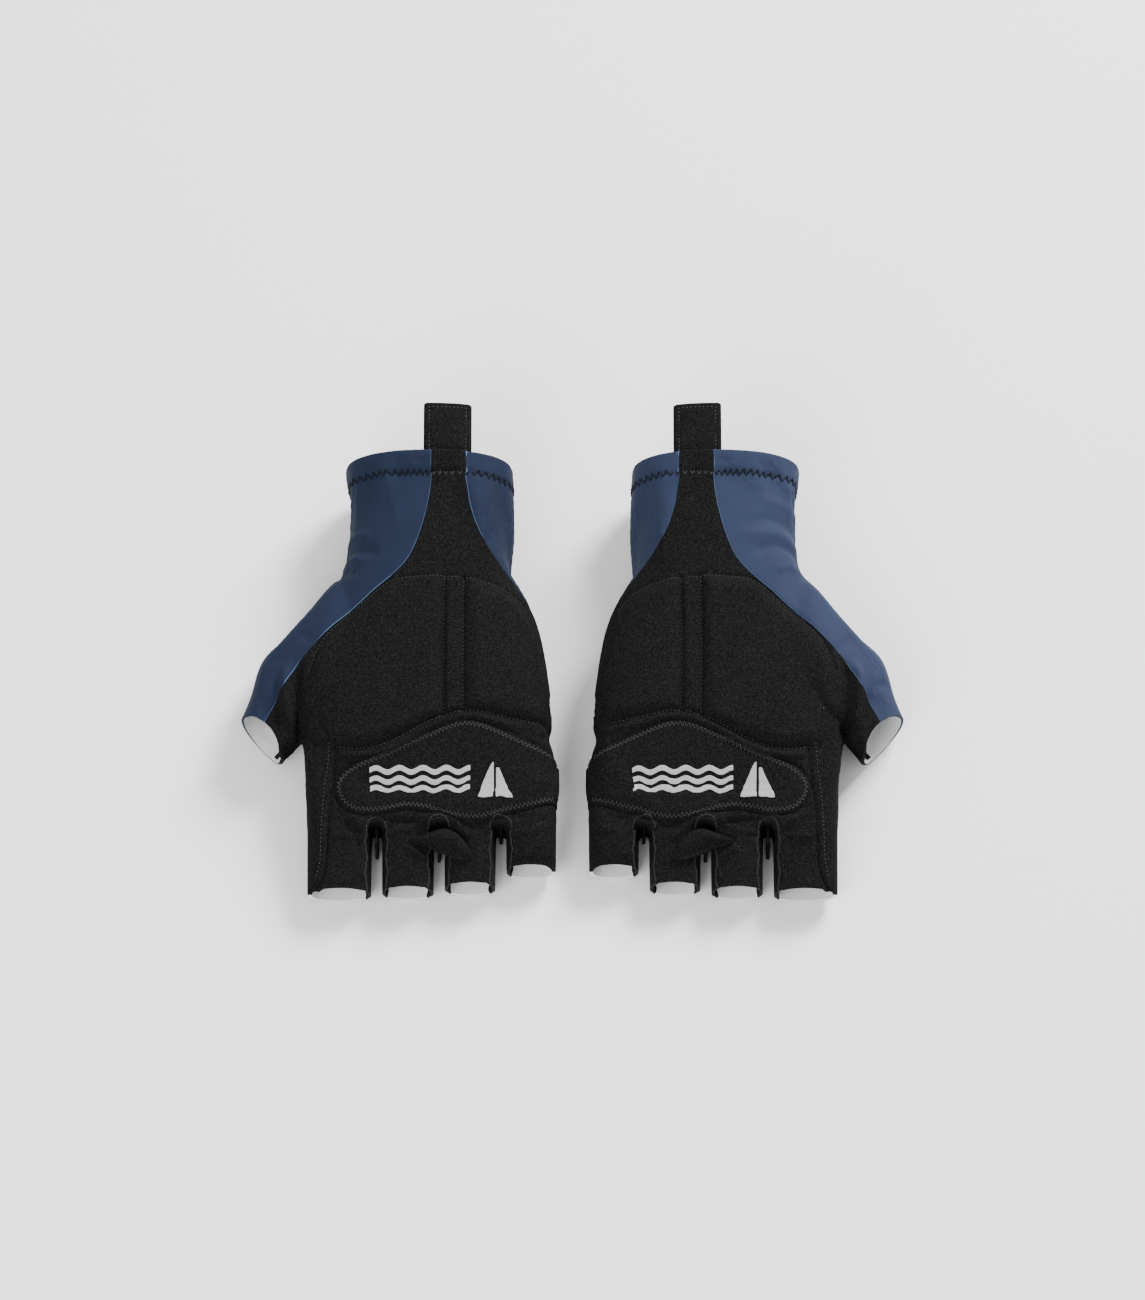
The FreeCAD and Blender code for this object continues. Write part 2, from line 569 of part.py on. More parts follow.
# Thumb stall: the seam splits it into the suede inside and the stretch outside.
thumb_shell = cut("thumb_shell", thumb_outer, thumb_inner)
splay = math.radians(size("thumb_splay"))
lip = (-math.sin(splay) * size("binding_length"), -math.cos(splay) * size("binding_length"))
inset_outer = (TIP_OUTER[0] - lip[0], TIP_OUTER[1] - lip[1])
inset_inner = (TIP_INNER[0] - lip[0], TIP_INNER[1] - lip[1])
far_outer = between(inset_outer, inset_inner, -0.5)
far_inner = between(inset_outer, inset_inner, 1.5)
lip_prism = prism("thumb_lip", [
    [far_outer, far_inner],
    [far_inner, (far_inner[0] + 8 * lip[0], far_inner[1] + 8 * lip[1])],
    [(far_inner[0] + 8 * lip[0], far_inner[1] + 8 * lip[1]),
     (far_outer[0] + 8 * lip[0], far_outer[1] + 8 * lip[1])],
    [(far_outer[0] + 8 * lip[0], far_outer[1] + 8 * lip[1]), far_outer],
], -5, TOP)
node("thumb_binding", common("thumb_binding", cut("thumb_edge_wall", thumb_edge, thumb_inner), lip_prism))
thumb_open = cut("thumb_open", thumb_shell, lip_prism)
node("thumb_palm_panel", common("thumb_palm_panel", thumb_open, palm_prism))
node("thumb_back_panel", cut("thumb_back_panel", thumb_open, palm_prism))

# Webs of the three fourchettes, across the slots at the knuckle fold.
web_places = [
    "{x_radial} + {index_width} + {finger_gap} / 2",
    "{x_ring} - {ring_width} / 2 - {finger_gap} / 2",
    "{x_ulnar} - {little_width} - {finger_gap} / 2",
]
webs = [
    block("web_%d" % n, "%s - {web_width} / 2" % place, "{y_fold} + 0.1", "{wall} - {rest_trim}",
          "{web_width}", "{wall}", "{fold_height} - 2 * {wall} + {rest_trim}")
    for n, place in enumerate(web_places)
]
node("fourchette_webs", fuse("fourchette_webs", webs))


def wave(name, y_offset, x_from, x_to):
    """A wavy band of the grip print across the knuckle pad."""
    middle_y = PRINT_MIDDLE + y_offset
    half, swing, count = size("wave_band") / 2, size("wave_height"), 12
    step = (x_to - x_from) / count
    ridge = [(x_from + n * step, middle_y + swing * math.sin(math.pi * n / 2)) for n in range(count + 1)]
    upper_run = [(x, y + half) for x, y in ridge]
    lower_run = [(x, y - half) for x, y in ridge][::-1]
    return prism(name, [upper_run, [upper_run[-1], lower_run[0]], lower_run, [lower_run[-1], upper_run[0]]],
                 size("knuckle_height") * 0.5, TOP)


def sail(name, corners):
    """A sail of the grip print: a three-cornered prism."""
    runs = [[corners[n], corners[(n + 1) % 3]] for n in range(3)]
    return prism(name, runs, size("knuckle_height") * 0.5, TOP)


def grip_print(side, layer, x_from, x_to):
    """Three waves and, at their +X end, a small two-sail mark."""
    extent = size("mark_size")
    start, pitch = x_to - extent, size("wave_pitch")
    marks = [wave("%s_wave_%d" % (side, n), (n - 1) * pitch, x_from, start - 3) for n in range(3)]
    top, foot = PRINT_MIDDLE + extent / 2, PRINT_MIDDLE - extent / 2
    luff = start + extent * 0.44
    stay = start + extent * 0.54
    marks.append(sail(side + "_mainsail", [(luff, top), (luff, foot), (start, foot)]))
    marks.append(sail(side + "_jib", [(stay, top - 3), (start + extent, foot), (stay, foot)]))
    return common(side + "_grip_print", layer, fuse(side + "_marks", marks))


PRINT_FROM, PRINT_TO = X_RADIAL + 23.0, X_RADIAL + 23.0 + size("print_reach")
PRINT_MIDDLE = Y_KNUCKLE - size("print_drop")
print_layer = cut("print_layer", print_tube, patch_tube)
node("grip_print", grip_print("right", print_layer, PRINT_FROM, PRINT_TO))
doc.recompute()


# --------------------------------------------------------------- left-hand glove nodes

def mirrored(name, source):
    """source on the other side of the pair's middle plane."""
    item = doc.addObject("Part::Mirroring", name)
    item.Source = source
    item.Base = VECTOR(0, 0, 0)
    item.Normal = VECTOR(1, 0, 0)
    return item


for right in list(nodes):
    if right.Label == "right_grip_print":
        continue
    left = mirrored("left_" + right.Name, right)
    left.Label = right.Label.replace("right_", "left_")
    nodes.append(left)
left_print = grip_print("left", mirrored("left_print_layer", print_layer), -PRINT_TO, -PRINT_FROM)
left_print.Label = "left_grip_print"
nodes.append(left_print)
doc.recompute()

# ------------------------------------------------------------------- checks and files

for item in doc.Objects:
    if "Invalid" in item.State or "Error" in item.State:
        raise RuntimeError("%s did not recompute: %s" % (item.Label, item.State))
os.makedirs(OUT_FOLDER, exist_ok=True)
for item in nodes:
    shape = item.Shape
    if shape.isNull() or not shape.isValid() or not shape.Solids:
        raise RuntimeError("%s has no valid solid" % item.Label)
    solids = shape.Solids
    kept = solids[0] if len(solids) == 1 else Part.makeCompound(solids)
    kept.exportStep(os.path.join(OUT_FOLDER, item.Label + ".step"))
    print("%-26s %2d solids %9.1f mm3" % (item.Label, len(solids), sum(s.Volume for s in solids)))
print("nodes:", len(nodes))
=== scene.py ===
"""Looks of a pair of short-finger gloves that lie on their backs, palms up.

Each glove starts as one closed skin, which is the union of the hand's tube, four finger
stalls and the thumb stall.  The skin is let go as cloth, shaped by its pads, grooves and
folds, cut along its seams into panels, and each panel gets its thickness.  Threads follow
paths on the finished panels.

Lengths are in millimetres in the gloves' plan: X as in the frame, Y from the open end of
the index stall towards the cuff, Z up out of the palm.  They become metres in the frame
only when a piece is made.
"""
import logging
import math
from dataclasses import dataclass, field
from enum import Enum
from functools import cache, partial
from typing import Callable, Iterable, Sequence

import bpy
import numpy as np
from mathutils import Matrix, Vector
from mathutils.bvhtree import BVHTree
from mathutils.kdtree import KDTree


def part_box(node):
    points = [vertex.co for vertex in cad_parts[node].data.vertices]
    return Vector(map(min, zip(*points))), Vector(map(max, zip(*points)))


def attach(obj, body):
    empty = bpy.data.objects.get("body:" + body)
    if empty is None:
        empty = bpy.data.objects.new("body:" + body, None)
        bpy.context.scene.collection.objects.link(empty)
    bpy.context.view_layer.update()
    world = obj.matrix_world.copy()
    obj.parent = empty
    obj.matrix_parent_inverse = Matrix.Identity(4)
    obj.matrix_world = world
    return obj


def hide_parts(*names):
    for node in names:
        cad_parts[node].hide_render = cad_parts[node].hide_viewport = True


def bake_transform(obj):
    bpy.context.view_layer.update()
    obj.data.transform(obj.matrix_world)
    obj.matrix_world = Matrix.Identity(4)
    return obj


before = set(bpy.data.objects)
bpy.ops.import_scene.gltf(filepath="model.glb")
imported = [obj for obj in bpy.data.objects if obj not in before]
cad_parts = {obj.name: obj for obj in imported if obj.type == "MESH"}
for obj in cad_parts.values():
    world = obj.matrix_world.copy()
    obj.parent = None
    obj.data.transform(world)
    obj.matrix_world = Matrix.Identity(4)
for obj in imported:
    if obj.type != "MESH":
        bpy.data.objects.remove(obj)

LOG = logging.getLogger("gloves")
MM = 0.001
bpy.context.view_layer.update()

Array = np.ndarray
Field = Callable[[Array], Array]
Point2 = tuple[float, float]
Point3 = tuple[float, float, float]
Bend = tuple[Point3, Point3]
Input = bpy.types.NodeSocket | float | tuple[float, ...]

ABOVE = 80.0              # height from which sewing is laid down on the cloth
BEND_LENGTH = 14.0        # length between the two bend points of a stall
EDGE_LENGTH = 1.3         # turned edge at a finger opening
THUMB_EDGE = 1.4          # turned edge at the thumb opening
FAR = 9.0                 # stands for well away from a cut
TAB_FOLD = 0.6            # from the rim back to where the free part of the tab starts
CUFF_LEFT, CUFF_RIGHT = -84.6, -22.2
CUFF_POWER = 2.3          # exponent of the cuff's upper half


class Hand(Enum):
    """Which hand a glove is for; the value is the sign of X beside the right-hand glove."""

    RIGHT = 1
    LEFT = -1

    @property
    def word(self) -> str:
        """Name's first word of every node of this glove."""
        return self.name.lower()


class Rim(Enum):
    """How a panel's cut edge is closed."""

    FLAT = 0
    ROUND = 3


class Face(Enum):
    """Which side of a panel a face is on."""

    OUTER = 0
    INNER = 1
    EDGE = 2


# ------------------------------------------------------------------------ small maths


def smooth(low: float, high: float, value: Array) -> Array:
    """Eases from 0 at low to 1 at high.

    Args:
        low: Value where the ramp starts.
        high: Value where the ramp ends; it may be below low.
        value: Values to ease.

    Returns:
        Eased values between 0 and 1.
    """
    t = np.clip((value - low) / (high - low), 0.0, 1.0)
    return t * t * (3.0 - 2.0 * t)


def bump(height: float | Array, distance: Array, width: float) -> Array:
    """A height that dies out smoothly with distance."""
    return height * np.exp(-(distance / width) ** 2)


def least(*fields: Array) -> Array:
    """The smallest of several fields at each place."""
    return np.minimum.reduce(fields)


def unit(vectors: Array) -> Array:
    """Vectors at unit length, along the last axis."""
    return vectors / np.maximum(np.linalg.norm(vectors, axis=-1, keepdims=True), 1e-12)


def extended(rows: Array) -> Array:
    """Rows with one more at each end, in line with the last two."""
    return np.vstack([2 * rows[0] - rows[1], rows, 2 * rows[-1] - rows[-2]])


def between(a: Array, b: Array, c: Array, d: Array, t: Array | float) -> Array:
    """Place at share t of the smooth way from b to c, which comes from a and goes on to d."""
    return 0.5 * (2 * b + (c - a) * t + (2 * a - 5 * b + 4 * c - d) * t ** 2
                  + (3 * b - a - 3 * c + d) * t ** 3)


def curve(points: Sequence[Point2], step: float = 1.5) -> Array:
    """Samples a smooth curve through plan points.

    Args:
        points: Plan points, in order.
        step: Rough distance between samples.

    Returns:
        Sampled plan points, shape (n, 2).
    """
    given = np.asarray(points, float)
    if len(given) < 3:
        return given
    padded = extended(given)
    samples = []
    for a, b, c, d in zip(padded, padded[1:], padded[2:], padded[3:]):
        count = max(2, int(np.linalg.norm(c - b) / step))
        t = np.linspace(0.0, 1.0, count, endpoint=False)[:, None]
        samples.append(between(a, b, c, d, t))
    return np.vstack(samples + [given[-1:]])


def even(path: Array, step: float) -> Array:
    """Sets points at an even distance along a path of any dimension.

    Args:
        path: Places along the path.
        step: Distance from one point to the next.

    Returns:
        The evenly set points.
    """
    lengths = np.concatenate([[0.0], np.cumsum(np.linalg.norm(np.diff(path, axis=0), axis=1))])
    count = max(2, int(round(lengths[-1] / step)) + 1)
    wanted = np.linspace(0.0, lengths[-1], count)
    return np.stack([np.interp(wanted, lengths, path[:, k]) for k in range(path.shape[1])], axis=1)


def leftward(path: Array) -> Array:
    """Unit vectors that point to the left of a plan path."""
    tangent = unit(np.gradient(path, axis=0))
    return np.stack([-tangent[:, 1], tangent[:, 0]], axis=1)


def offset(path: Array, distance: float) -> Array:
    """A plan path moved to its left by a distance."""
    return path + leftward(path) * distance


def along(points: Array, path: Array) -> tuple[Array, Array, Array]:
    """Measures plan points against a path.

    Args:
        points: Points, of which X and Y are used.
        path: Plan path, shape (m, 2).

    Returns:
        Distance from the path, the same with a plus sign on the path's left, and the
        share of the path's length at the nearest place.
    """
    xy = points[:, :2]
    best = np.full(len(xy), np.inf)
    side = np.ones(len(xy))
    share = np.zeros(len(xy))
    lengths = np.linalg.norm(np.diff(path, axis=0), axis=1)
    total = lengths.sum()
    run = 0.0
    for a, b, length in zip(path, path[1:], lengths):
        ab = b - a
        rel = xy - a
        t = np.clip(rel @ ab / max(length ** 2, 1e-12), 0.0, 1.0)
        away = rel - t[:, None] * ab
        distance = np.hypot(away[:, 0], away[:, 1])
        near = distance < best
        best[near] = distance[near]
        cross = ab[0] * rel[:, 1] - ab[1] * rel[:, 0]
        side[near] = np.where(cross[near] >= 0, 1.0, -1.0)
        share[near] = (run + t[near] * length) / total
        run += length
    return best, best * side, share


def inside(points: Array, outline: Array) -> Array:
    """Measures how far points are inside a closed plan outline.

    Args:
        points: Points, of which X and Y are used.
        outline: Plan outline, which closes by itself.

    Returns:
        Distance from the outline, with a minus sign outside it.
    """
    closed = np.vstack([outline, outline[:1]])
    distance, _, _ = along(points, closed)
    x, y = points[:, 0], points[:, 1]
    within = np.zeros(len(points), bool)
    for a, b in zip(closed, closed[1:]):
        crosses = (a[1] > y) != (b[1] > y)
        if a[1] != b[1]:
            within ^= crosses & (x < (b[0] - a[0]) * (y - a[1]) / (b[1] - a[1]) + a[0])
    return np.where(within, distance, -distance)


# -------------------------------------------------------------------- sizes and places


@dataclass(frozen=True)
class Stall:
    """A finger stall's place in the plan.

    Attributes:
        name: The finger's name.
        left: X of its side towards the thumb.
        right: X of its other side.
        tip: Y of its open end.
    """

    name: str
    left: float
    right: float
    tip: float

    @property
    def middle(self) -> float:
        """X of the stall's middle line."""
        return (self.left + self.right) / 2

    @property
    def bend(self) -> Bend:
        """Plan points where the stall's cloth would start and end turning with the finger."""
        return (self.middle, PLAN.crease, 12.0), (self.middle, PLAN.crease - BEND_LENGTH, 12.0)

    def beside(self, x: Array, spare: float = 0.7) -> Array:
        """Which X lie in the stall's width or a little beside it."""
        return (x > self.left - spare) & (x < self.right + spare)


@dataclass(frozen=True)
class Plan:
    """Main places of the right-hand glove, read from the frame.

    Attributes:
        shift: Y of the plan's zero in the frame.
        rim: Y of the cuff's rim.
        top: Height of the cuff.
        right: X of the glove's side away from the thumb.
        stalls: Finger stalls, from the index.
        tab_left: X of one edge of the pull tab.
        tab_right: X of its other edge.
        tab_end: Y of its far end.
        crease: Y of the knuckle fold.
        hem: Y of the hem's sewing.
        side: Height where the palm panel meets the back panel.
    """

    shift: float
    rim: float
    top: float
    right: float
    stalls: tuple[Stall, ...]
    tab_left: float
    tab_right: float
    tab_end: float
    crease: float = 21.5
    hem: float = 154.8
    side: float = 7.0

    @classmethod
    def from_frame(cls) -> "Plan":
        """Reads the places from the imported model's boxes.

        Returns:
            The plan of the right-hand glove.
        """
        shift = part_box("right_index_binding")[0].y / MM
        stalls = []
        for name in ("index", "middle", "ring", "little"):
            low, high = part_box(f"right_{name}_side_walls")
            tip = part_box(f"right_{name}_binding")[0].y / MM - shift
            stalls.append(Stall(name, low.x / MM, high.x / MM, tip))
        tab_low, tab_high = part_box("right_pull_tab")
        return cls(
            shift=shift,
            rim=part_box("right_cuff_hem")[1].y / MM - shift,
            top=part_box("right_palm_panel")[1].z / MM,
            right=stalls[-1].right,
            stalls=tuple(stalls),
            tab_left=tab_low.x / MM,
            tab_right=tab_high.x / MM,
            tab_end=tab_high.y / MM - shift,
        )

    @property
    def slots(self) -> tuple[float, ...]:
        """X of the middle of each slot between two stalls."""
        return tuple((a.right + b.left) / 2 for a, b in zip(self.stalls, self.stalls[1:]))

    def metres(self, points: Array, hand: Hand) -> Array:
        """Plan millimetres of the right-hand glove as metres of a glove in the frame."""
        return (points + np.array([0.0, self.shift, 0.0])) * np.array([hand.value, 1, 1]) * MM


PLAN = Plan.from_frame()

# Grip print: Y of its middle, X of its start and end, and how far it reaches in Y.
PRINT = (39.0, -74.2, -22.2, 9.5)

# Thumb stall: shoulder and crotch of its base, and the two corners of its opening.
SHOULDER, CROTCH = (-86.0, 123.0), (-98.6, 59.1)
THUMB_OUTER, THUMB_INNER = (-122.7, 67.4), (-106.8, 50.7)

RADIAL_SEAM = curve([
    (-51.9, 176.0), (-52.0, 163.0), (-52.2, 153.0), (-52.9, 146.5), (-54.2, 139.7), (-55.7, 134.0),
    (-57.8, 128.0), (-60.4, 122.6), (-63.6, 118.6), (-67.6, 115.0), (-72.6, 111.2), (-78.0, 106.4),
    (-88.4, 97.5), (-96.6, 88.7), (-101.8, 82.4), (-106.2, 75.3), (-110.3, 67.8), (-113.8, 61.5),
    (-120.0, 50.0),
])
ULNAR_SEAM = curve([
    (-39.9, 176.0), (-39.8, 163.0), (-39.7, 154.0), (-38.9, 148.5), (-37.7, 141.8), (-35.6, 135.5),
    (-33.1, 130.3), (-30.2, 125.8), (-26.8, 121.4), (-22.9, 117.0), (-19.6, 113.2), (-16.2, 107.6),
    (-11.5, 99.0), (-6.0, 88.0), (0.0, 70.0),
])
INDEX_SEAM = curve([
    (-87.6, 62.0), (-87.0, 54.0), (-87.6, 45.0), (-88.9, 35.0), (-89.6, 26.0), (-90.0, 17.0),
    (-90.3, 10.0), (-91.8, 4.6), (-94.2, 0.6), (-98.0, -3.0),
])
THENAR = curve([
    (-47.4, 61.4), (-47.4, 88.0), (-47.2, 114.6), (-58.0, 114.8), (-67.5, 113.8), (-76.0, 107.0),
    (-86.5, 98.0), (-93.6, 89.4), (-97.4, 75.0), (-98.6, 61.0), (-93.5, 53.0), (-83.0, 51.0),
    (-72.0, 51.2), (-60.5, 55.6),
])
HYPOTHENAR = curve([
    (-40.2, 63.8), (-40.2, 88.0), (-40.0, 114.4), (-31.0, 113.2), (-22.5, 110.2), (-15.0, 100.5),
    (-9.0, 84.0), (-5.5, 62.0), (-18.0, 61.4), (-30.0, 63.2),
])
CHANNELS = (
    curve([(-47.3, 114.4), (-47.5, 88.0), (-47.2, 62.2)]),
    curve([(-40.1, 114.4), (-40.4, 88.0), (-40.2, 64.0)]),
)
PAD_TOP = curve([
    (-67.0, 113.8), (-58.0, 114.9), (-44.0, 114.9), (-31.0, 113.4), (-22.5, 110.4), (-17.5, 105.5),
])
PAD_ARC = curve([(-67.5, 113.6), (-76.0, 106.8), (-86.5, 97.8), (-93.4, 89.2), (-96.9, 80.0)])
PAD_FOOT = curve([
    (-86.5, 51.5), (-79.0, 50.6), (-71.5, 51.4), (-64.0, 54.3), (-56.6, 58.3), (-47.5, 62.3),
    (-38.7, 64.3), (-31.0, 63.6), (-25.4, 62.4), (-17.0, 61.4), (-8.0, 61.0),
])
PATCH = curve([
    (-4.0, 48.6), (-9.4, 50.4), (-13.9, 52.0), (-19.5, 54.2), (-25.4, 56.4), (-32.0, 58.9),
    (-38.2, 60.0), (-44.5, 59.0), (-50.5, 56.6), (-56.6, 54.0), (-62.5, 51.2), (-68.3, 48.6),
    (-74.5, 46.6), (-80.4, 44.2), (-84.6, 41.2), (-86.6, 37.6), (-86.0, 33.6), (-83.4, 30.0),
    (-79.6, 28.0), (-72.3, 27.4), (-66.0, 28.4), (-60.5, 29.2), (-54.5, 28.6), (-48.8, 27.2),
    (-42.0, 25.6), (-35.7, 25.0), (-30.0, 25.9), (-25.4, 27.4), (-17.6, 29.2), (-10.0, 31.6),
    (-4.0, 33.4),
])
SLOT_ENDS = (22.4, 22.4, 23.0)
WEB_REACH = 3.9
WEB_FRONTS = (14.4, 13.2, 20.4)

FLAP_TOP = ((-59.2, 17.6), (-53.5, 19.4), (-47.3, 21.0), (-42.5, 19.4), (-38.8, 15.6), (-36.4, 11.6))
FLAP_LOW = ((-59.0, 16.9), (-55.6, 15.9), (-50.5, 14.0), (-45.6, 12.0), (-40.6, 10.6), (-36.6, 11.2))
FLAP_SIDES = {"middle": -1, "ring": 1}


@dataclass(frozen=True)
class Fold:
    """A ridge or crease that runs along a plan curve.

    Attributes:
        points: Plan points of the curve.
        height: Height in the middle; negative makes a crease.
        width: Distance from the curve where it has nearly died out.
        taper: Share of the length that each end takes to rise.
    """

    points: tuple[Point2, ...]
    height: float
    width: float
    taper: float = 0.25

    def lift(self, points: Array) -> Array:
        """Finds how far the fold raises the skin.

        Args:
            points: Places on the skin.

        Returns:
            The rise at each.
        """
        distance, _, share = along(points, curve(self.points))
        ends = smooth(0.0, self.taper, share) * smooth(1.0, 1.0 - self.taper, share)
        return bump(self.height * ends, distance, 0.55 * self.width)


SHARED_FOLDS = (
    Fold(((-99.5, 86.0), (-101.6, 79.0), (-101.4, 70.0), (-100.2, 61.0), (-99.4, 55.0)), -2.3, 3.2),
    Fold(((-103.6, 86.0), (-105.8, 79.0), (-105.6, 69.0), (-104.2, 58.0)), 2.0, 3.2),
    Fold(((-109.5, 74.0), (-109.0, 67.0), (-107.0, 59.0)), -0.7, 2.6),
    Fold(((-97.6, 72.0), (-96.8, 63.0), (-96.6, 54.5)), 0.8, 3.2),
    Fold(((-94.0, 66.0), (-91.0, 58.0), (-87.6, 53.4)), -0.6, 2.4),
    Fold(((-82.8, 27.2), (-78.6, 24.0), (-75.6, 20.6), (-74.8, 15.5)), 1.0, 2.4),
    Fold(((-86.0, 26.0), (-80.5, 20.5), (-78.2, 13.0)), -0.7, 2.4),
    Fold(((-89.5, 18.6), (-83.0, 19.6), (-77.5, 18.6)), 0.75, 1.8),
    Fold(((-73.5, 25.8), (-66.0, 24.4), (-58.0, 23.8), (-53.0, 24.6)), -1.1, 1.7),
    Fold(((-69.5, 21.0), (-64.0, 20.6), (-57.5, 21.6)), 0.8, 1.7),
    Fold(((-61.5, 15.2), (-57.5, 13.6), (-54.0, 10.6)), 1.1, 2.0),
    Fold(((-57.6, 23.2), (-53.0, 25.4), (-49.5, 26.4), (-45.0, 25.4), (-40.6, 22.0)), 1.6, 2.0),
    Fold(((-43.6, 23.6), (-39.8, 21.0), (-36.2, 17.4)), 1.2, 2.2),
    Fold(((-43.0, 24.4), (-38.0, 22.4), (-33.0, 23.0), (-29.5, 25.0)), -1.1, 1.8),
    Fold(((-35.5, 26.0), (-31.6, 22.0), (-29.6, 16.0)), 0.7, 1.8),
    Fold(((-25.0, 26.6), (-19.0, 25.4), (-11.0, 26.4)), -0.7, 2.0),
    Fold(((-24.0, 21.0), (-17.0, 20.6), (-9.0, 22.6)), 0.6, 2.4),
)
RIGHT_FOLDS = (
    Fold(((-88.5, 127.6), (-82.0, 128.4), (-75.0, 126.0), (-71.5, 122.6)), -1.2, 3.6),
    Fold(((-88.5, 131.5), (-81.0, 133.2), (-74.0, 131.4)), 0.8, 3.4),
    Fold(((-89.5, 120.0), (-84.0, 120.6), (-79.0, 117.8)), -1.2, 3.0),
    Fold(((-88.0, 123.6), (-82.0, 124.4), (-77.0, 121.8)), 0.7, 2.6),
    Fold(((-68.0, 158.0), (-67.0, 146.0), (-64.5, 134.0)), 0.5, 5.0),
    Fold(((-103.0, 99.0), (-98.0, 93.5), (-91.0, 88.6)), -0.4, 3.0),
    Fold(((-115.5, 82.0), (-110.5, 77.5), (-107.5, 71.0)), -0.5, 3.0),
)
LEFT_FOLDS = (
    Fold(((-88.5, 124.6), (-80.0, 128.0), (-72.0, 127.0), (-66.5, 122.6)), -0.9, 3.6),
    Fold(((-87.5, 132.0), (-79.0, 137.0), (-70.0, 137.4), (-61.5, 133.0)), -0.7, 4.2),
    Fold(((-87.5, 128.0), (-79.0, 132.4), (-70.0, 132.2), (-63.0, 128.0)), 0.7, 3.8),
    Fold(((-87.0, 140.0), (-78.0, 144.6), (-68.0, 145.0)), 0.6, 4.0),
    Fold(((-86.5, 119.4), (-80.5, 121.0), (-74.5, 118.0)), 0.6, 3.0),
    Fold(((-104.0, 97.0), (-99.5, 90.0), (-93.5, 84.6)), -0.5, 3.0),
    Fold(((-118.0, 78.0), (-112.0, 75.5), (-108.0, 69.0)), -0.5, 2.6),
)


# ----------------------------------------------------------------- cloth as plain arrays


def edges(tris: Array) -> Array:
    """Every triangle's three edges, in its direction."""
    return np.concatenate([tris[:, [0, 1]], tris[:, [1, 2]], tris[:, [2, 0]]])


def grid_tris(rows: int, columns: int, turned: bool = False) -> Array:
    """Sets two triangles in each cell of a grid of points.

    Args:
        rows: Rows of points.
        columns: Points in a row.
        turned: Whether they face the other way.

    Returns:
        Corner indices, shape (n, 3).
    """
    index = np.arange(rows * columns).reshape(rows, columns)
    a, b, c, d = index[:-1, :-1], index[:-1, 1:], index[1:, 1:], index[1:, :-1]
    if turned:
        b, d = d, b
    return np.concatenate([np.stack(corners, -1).reshape(-1, 3) for corners in ((a, b, c), (a, c, d))])


@dataclass
class Cloth:
    """A triangle mesh of the skin or of part of it.

    Attributes:
        points: Places, shape (n, 3).
        normals: Outward unit vectors at the points.
        tris: Corner indices, anticlockwise from outside.
    """

    points: Array
    normals: Array
    tris: Array

    def compact(self) -> "Cloth":
        """The same cloth without the points that no triangle uses."""
        used, index = np.unique(self.tris, return_inverse=True)
        return Cloth(self.points[used], self.normals[used], index.reshape(-1, 3))

    def pick(self, chosen: Array) -> "Cloth":
        """The part made of the chosen triangles."""
        return Cloth(self.points, self.normals, self.tris[chosen]).compact()

    def split(self, rule: Field) -> tuple["Cloth", "Cloth"]:
        """Cuts the cloth along the line where a field is zero.

        Args:
            rule: Field over points.

        Returns:
            The part where the field is positive, and the rest.
        """
        value = rule(self.points)
        value = np.where(np.abs(value) < 0.02, 0.02, value)
        above = value > 0
        count = above[self.tris].sum(axis=1)
        mixed = (count == 1) | (count == 2)
        tris = self.tris[mixed]
        lone_above = count[mixed] == 1
        lone = np.argmax(above[tris] == lone_above[:, None], axis=1)
        rows = np.arange(len(tris))
        a, b, c = (tris[rows, (lone + k) % 3] for k in range(3))
        total = len(self.points)
        ends = np.concatenate([np.stack([a, b], 1), np.stack([a, c], 1)])
        ends.sort(axis=1)
        keys, where = np.unique(ends[:, 0] * total + ends[:, 1], return_inverse=True)
        low, high = keys // total, keys % total
        t = (value[low] / (value[low] - value[high]))[:, None]
        points = np.vstack([self.points, self.points[low] * (1 - t) + self.points[high] * t])
        normals = np.vstack([self.normals, unit(self.normals[low] * (1 - t) + self.normals[high] * t)])
        ab, ac = total + where[:len(tris)], total + where[len(tris):]
        tip = np.stack([a, ab, ac], 1)
        rest = np.concatenate([np.stack([ab, b, c], 1), np.stack([ab, c, ac], 1)])
        both = np.concatenate([lone_above, lone_above])
        over = np.concatenate([self.tris[count == 3], tip[lone_above], rest[~both]])
        under = np.concatenate([self.tris[count == 0], tip[~lone_above], rest[both]])
        return Cloth(points, normals, over).compact(), Cloth(points, normals, under).compact()

    def refine(self) -> "Cloth":
        """Makes the cloth finer.

        Returns:
            The same cloth with each triangle in four.
        """
        sides = np.sort(edges(self.tris), axis=1)
        total = len(self.points)
        keys, where = np.unique(sides[:, 0] * total + sides[:, 1], return_inverse=True)
        low, high = keys // total, keys % total
        points = np.vstack([self.points, (self.points[low] + self.points[high]) / 2])
        normals = np.vstack([self.normals, unit(self.normals[low] + self.normals[high])])
        count = len(self.tris)
        ab, bc, ca = (total + where[k * count:(k + 1) * count] for k in range(3))
        a, b, c = self.tris.T
        tris = np.concatenate([np.stack(t, 1) for t in ((a, ab, ca), (ab, b, bc), (ca, bc, c), (ab, bc, ca))])
        return Cloth(points, normals, tris)

    def border(self) -> Array:
        """Finds the cloth's border.

        Returns:
            Edges that only one triangle has, in that triangle's direction.
        """
        sides = edges(self.tris)
        ordered = np.sort(sides, axis=1)
        _, index, count = np.unique(ordered[:, 0] * (len(self.points) + 1) + ordered[:, 1],
                                    return_index=True, return_counts=True)
        return sides[index[count == 1]]


def vertex_normals(points: Array, tris: Array) -> Array:
    """Finds the outward direction at each point of a mesh.

    Args:
        points: Places, shape (n, 3).
        tris: Corner indices.

    Returns:
        Unit normals, weighted by the triangles' areas.
    """
    a, b, c = (points[tris[:, k]] for k in range(3))
    face = np.cross(b - a, c - a)
    total = np.zeros_like(points)
    for k in range(3):
        for axis in range(3):
            total[:, axis] += np.bincount(tris[:, k], face[:, axis], len(points))
    return unit(total)


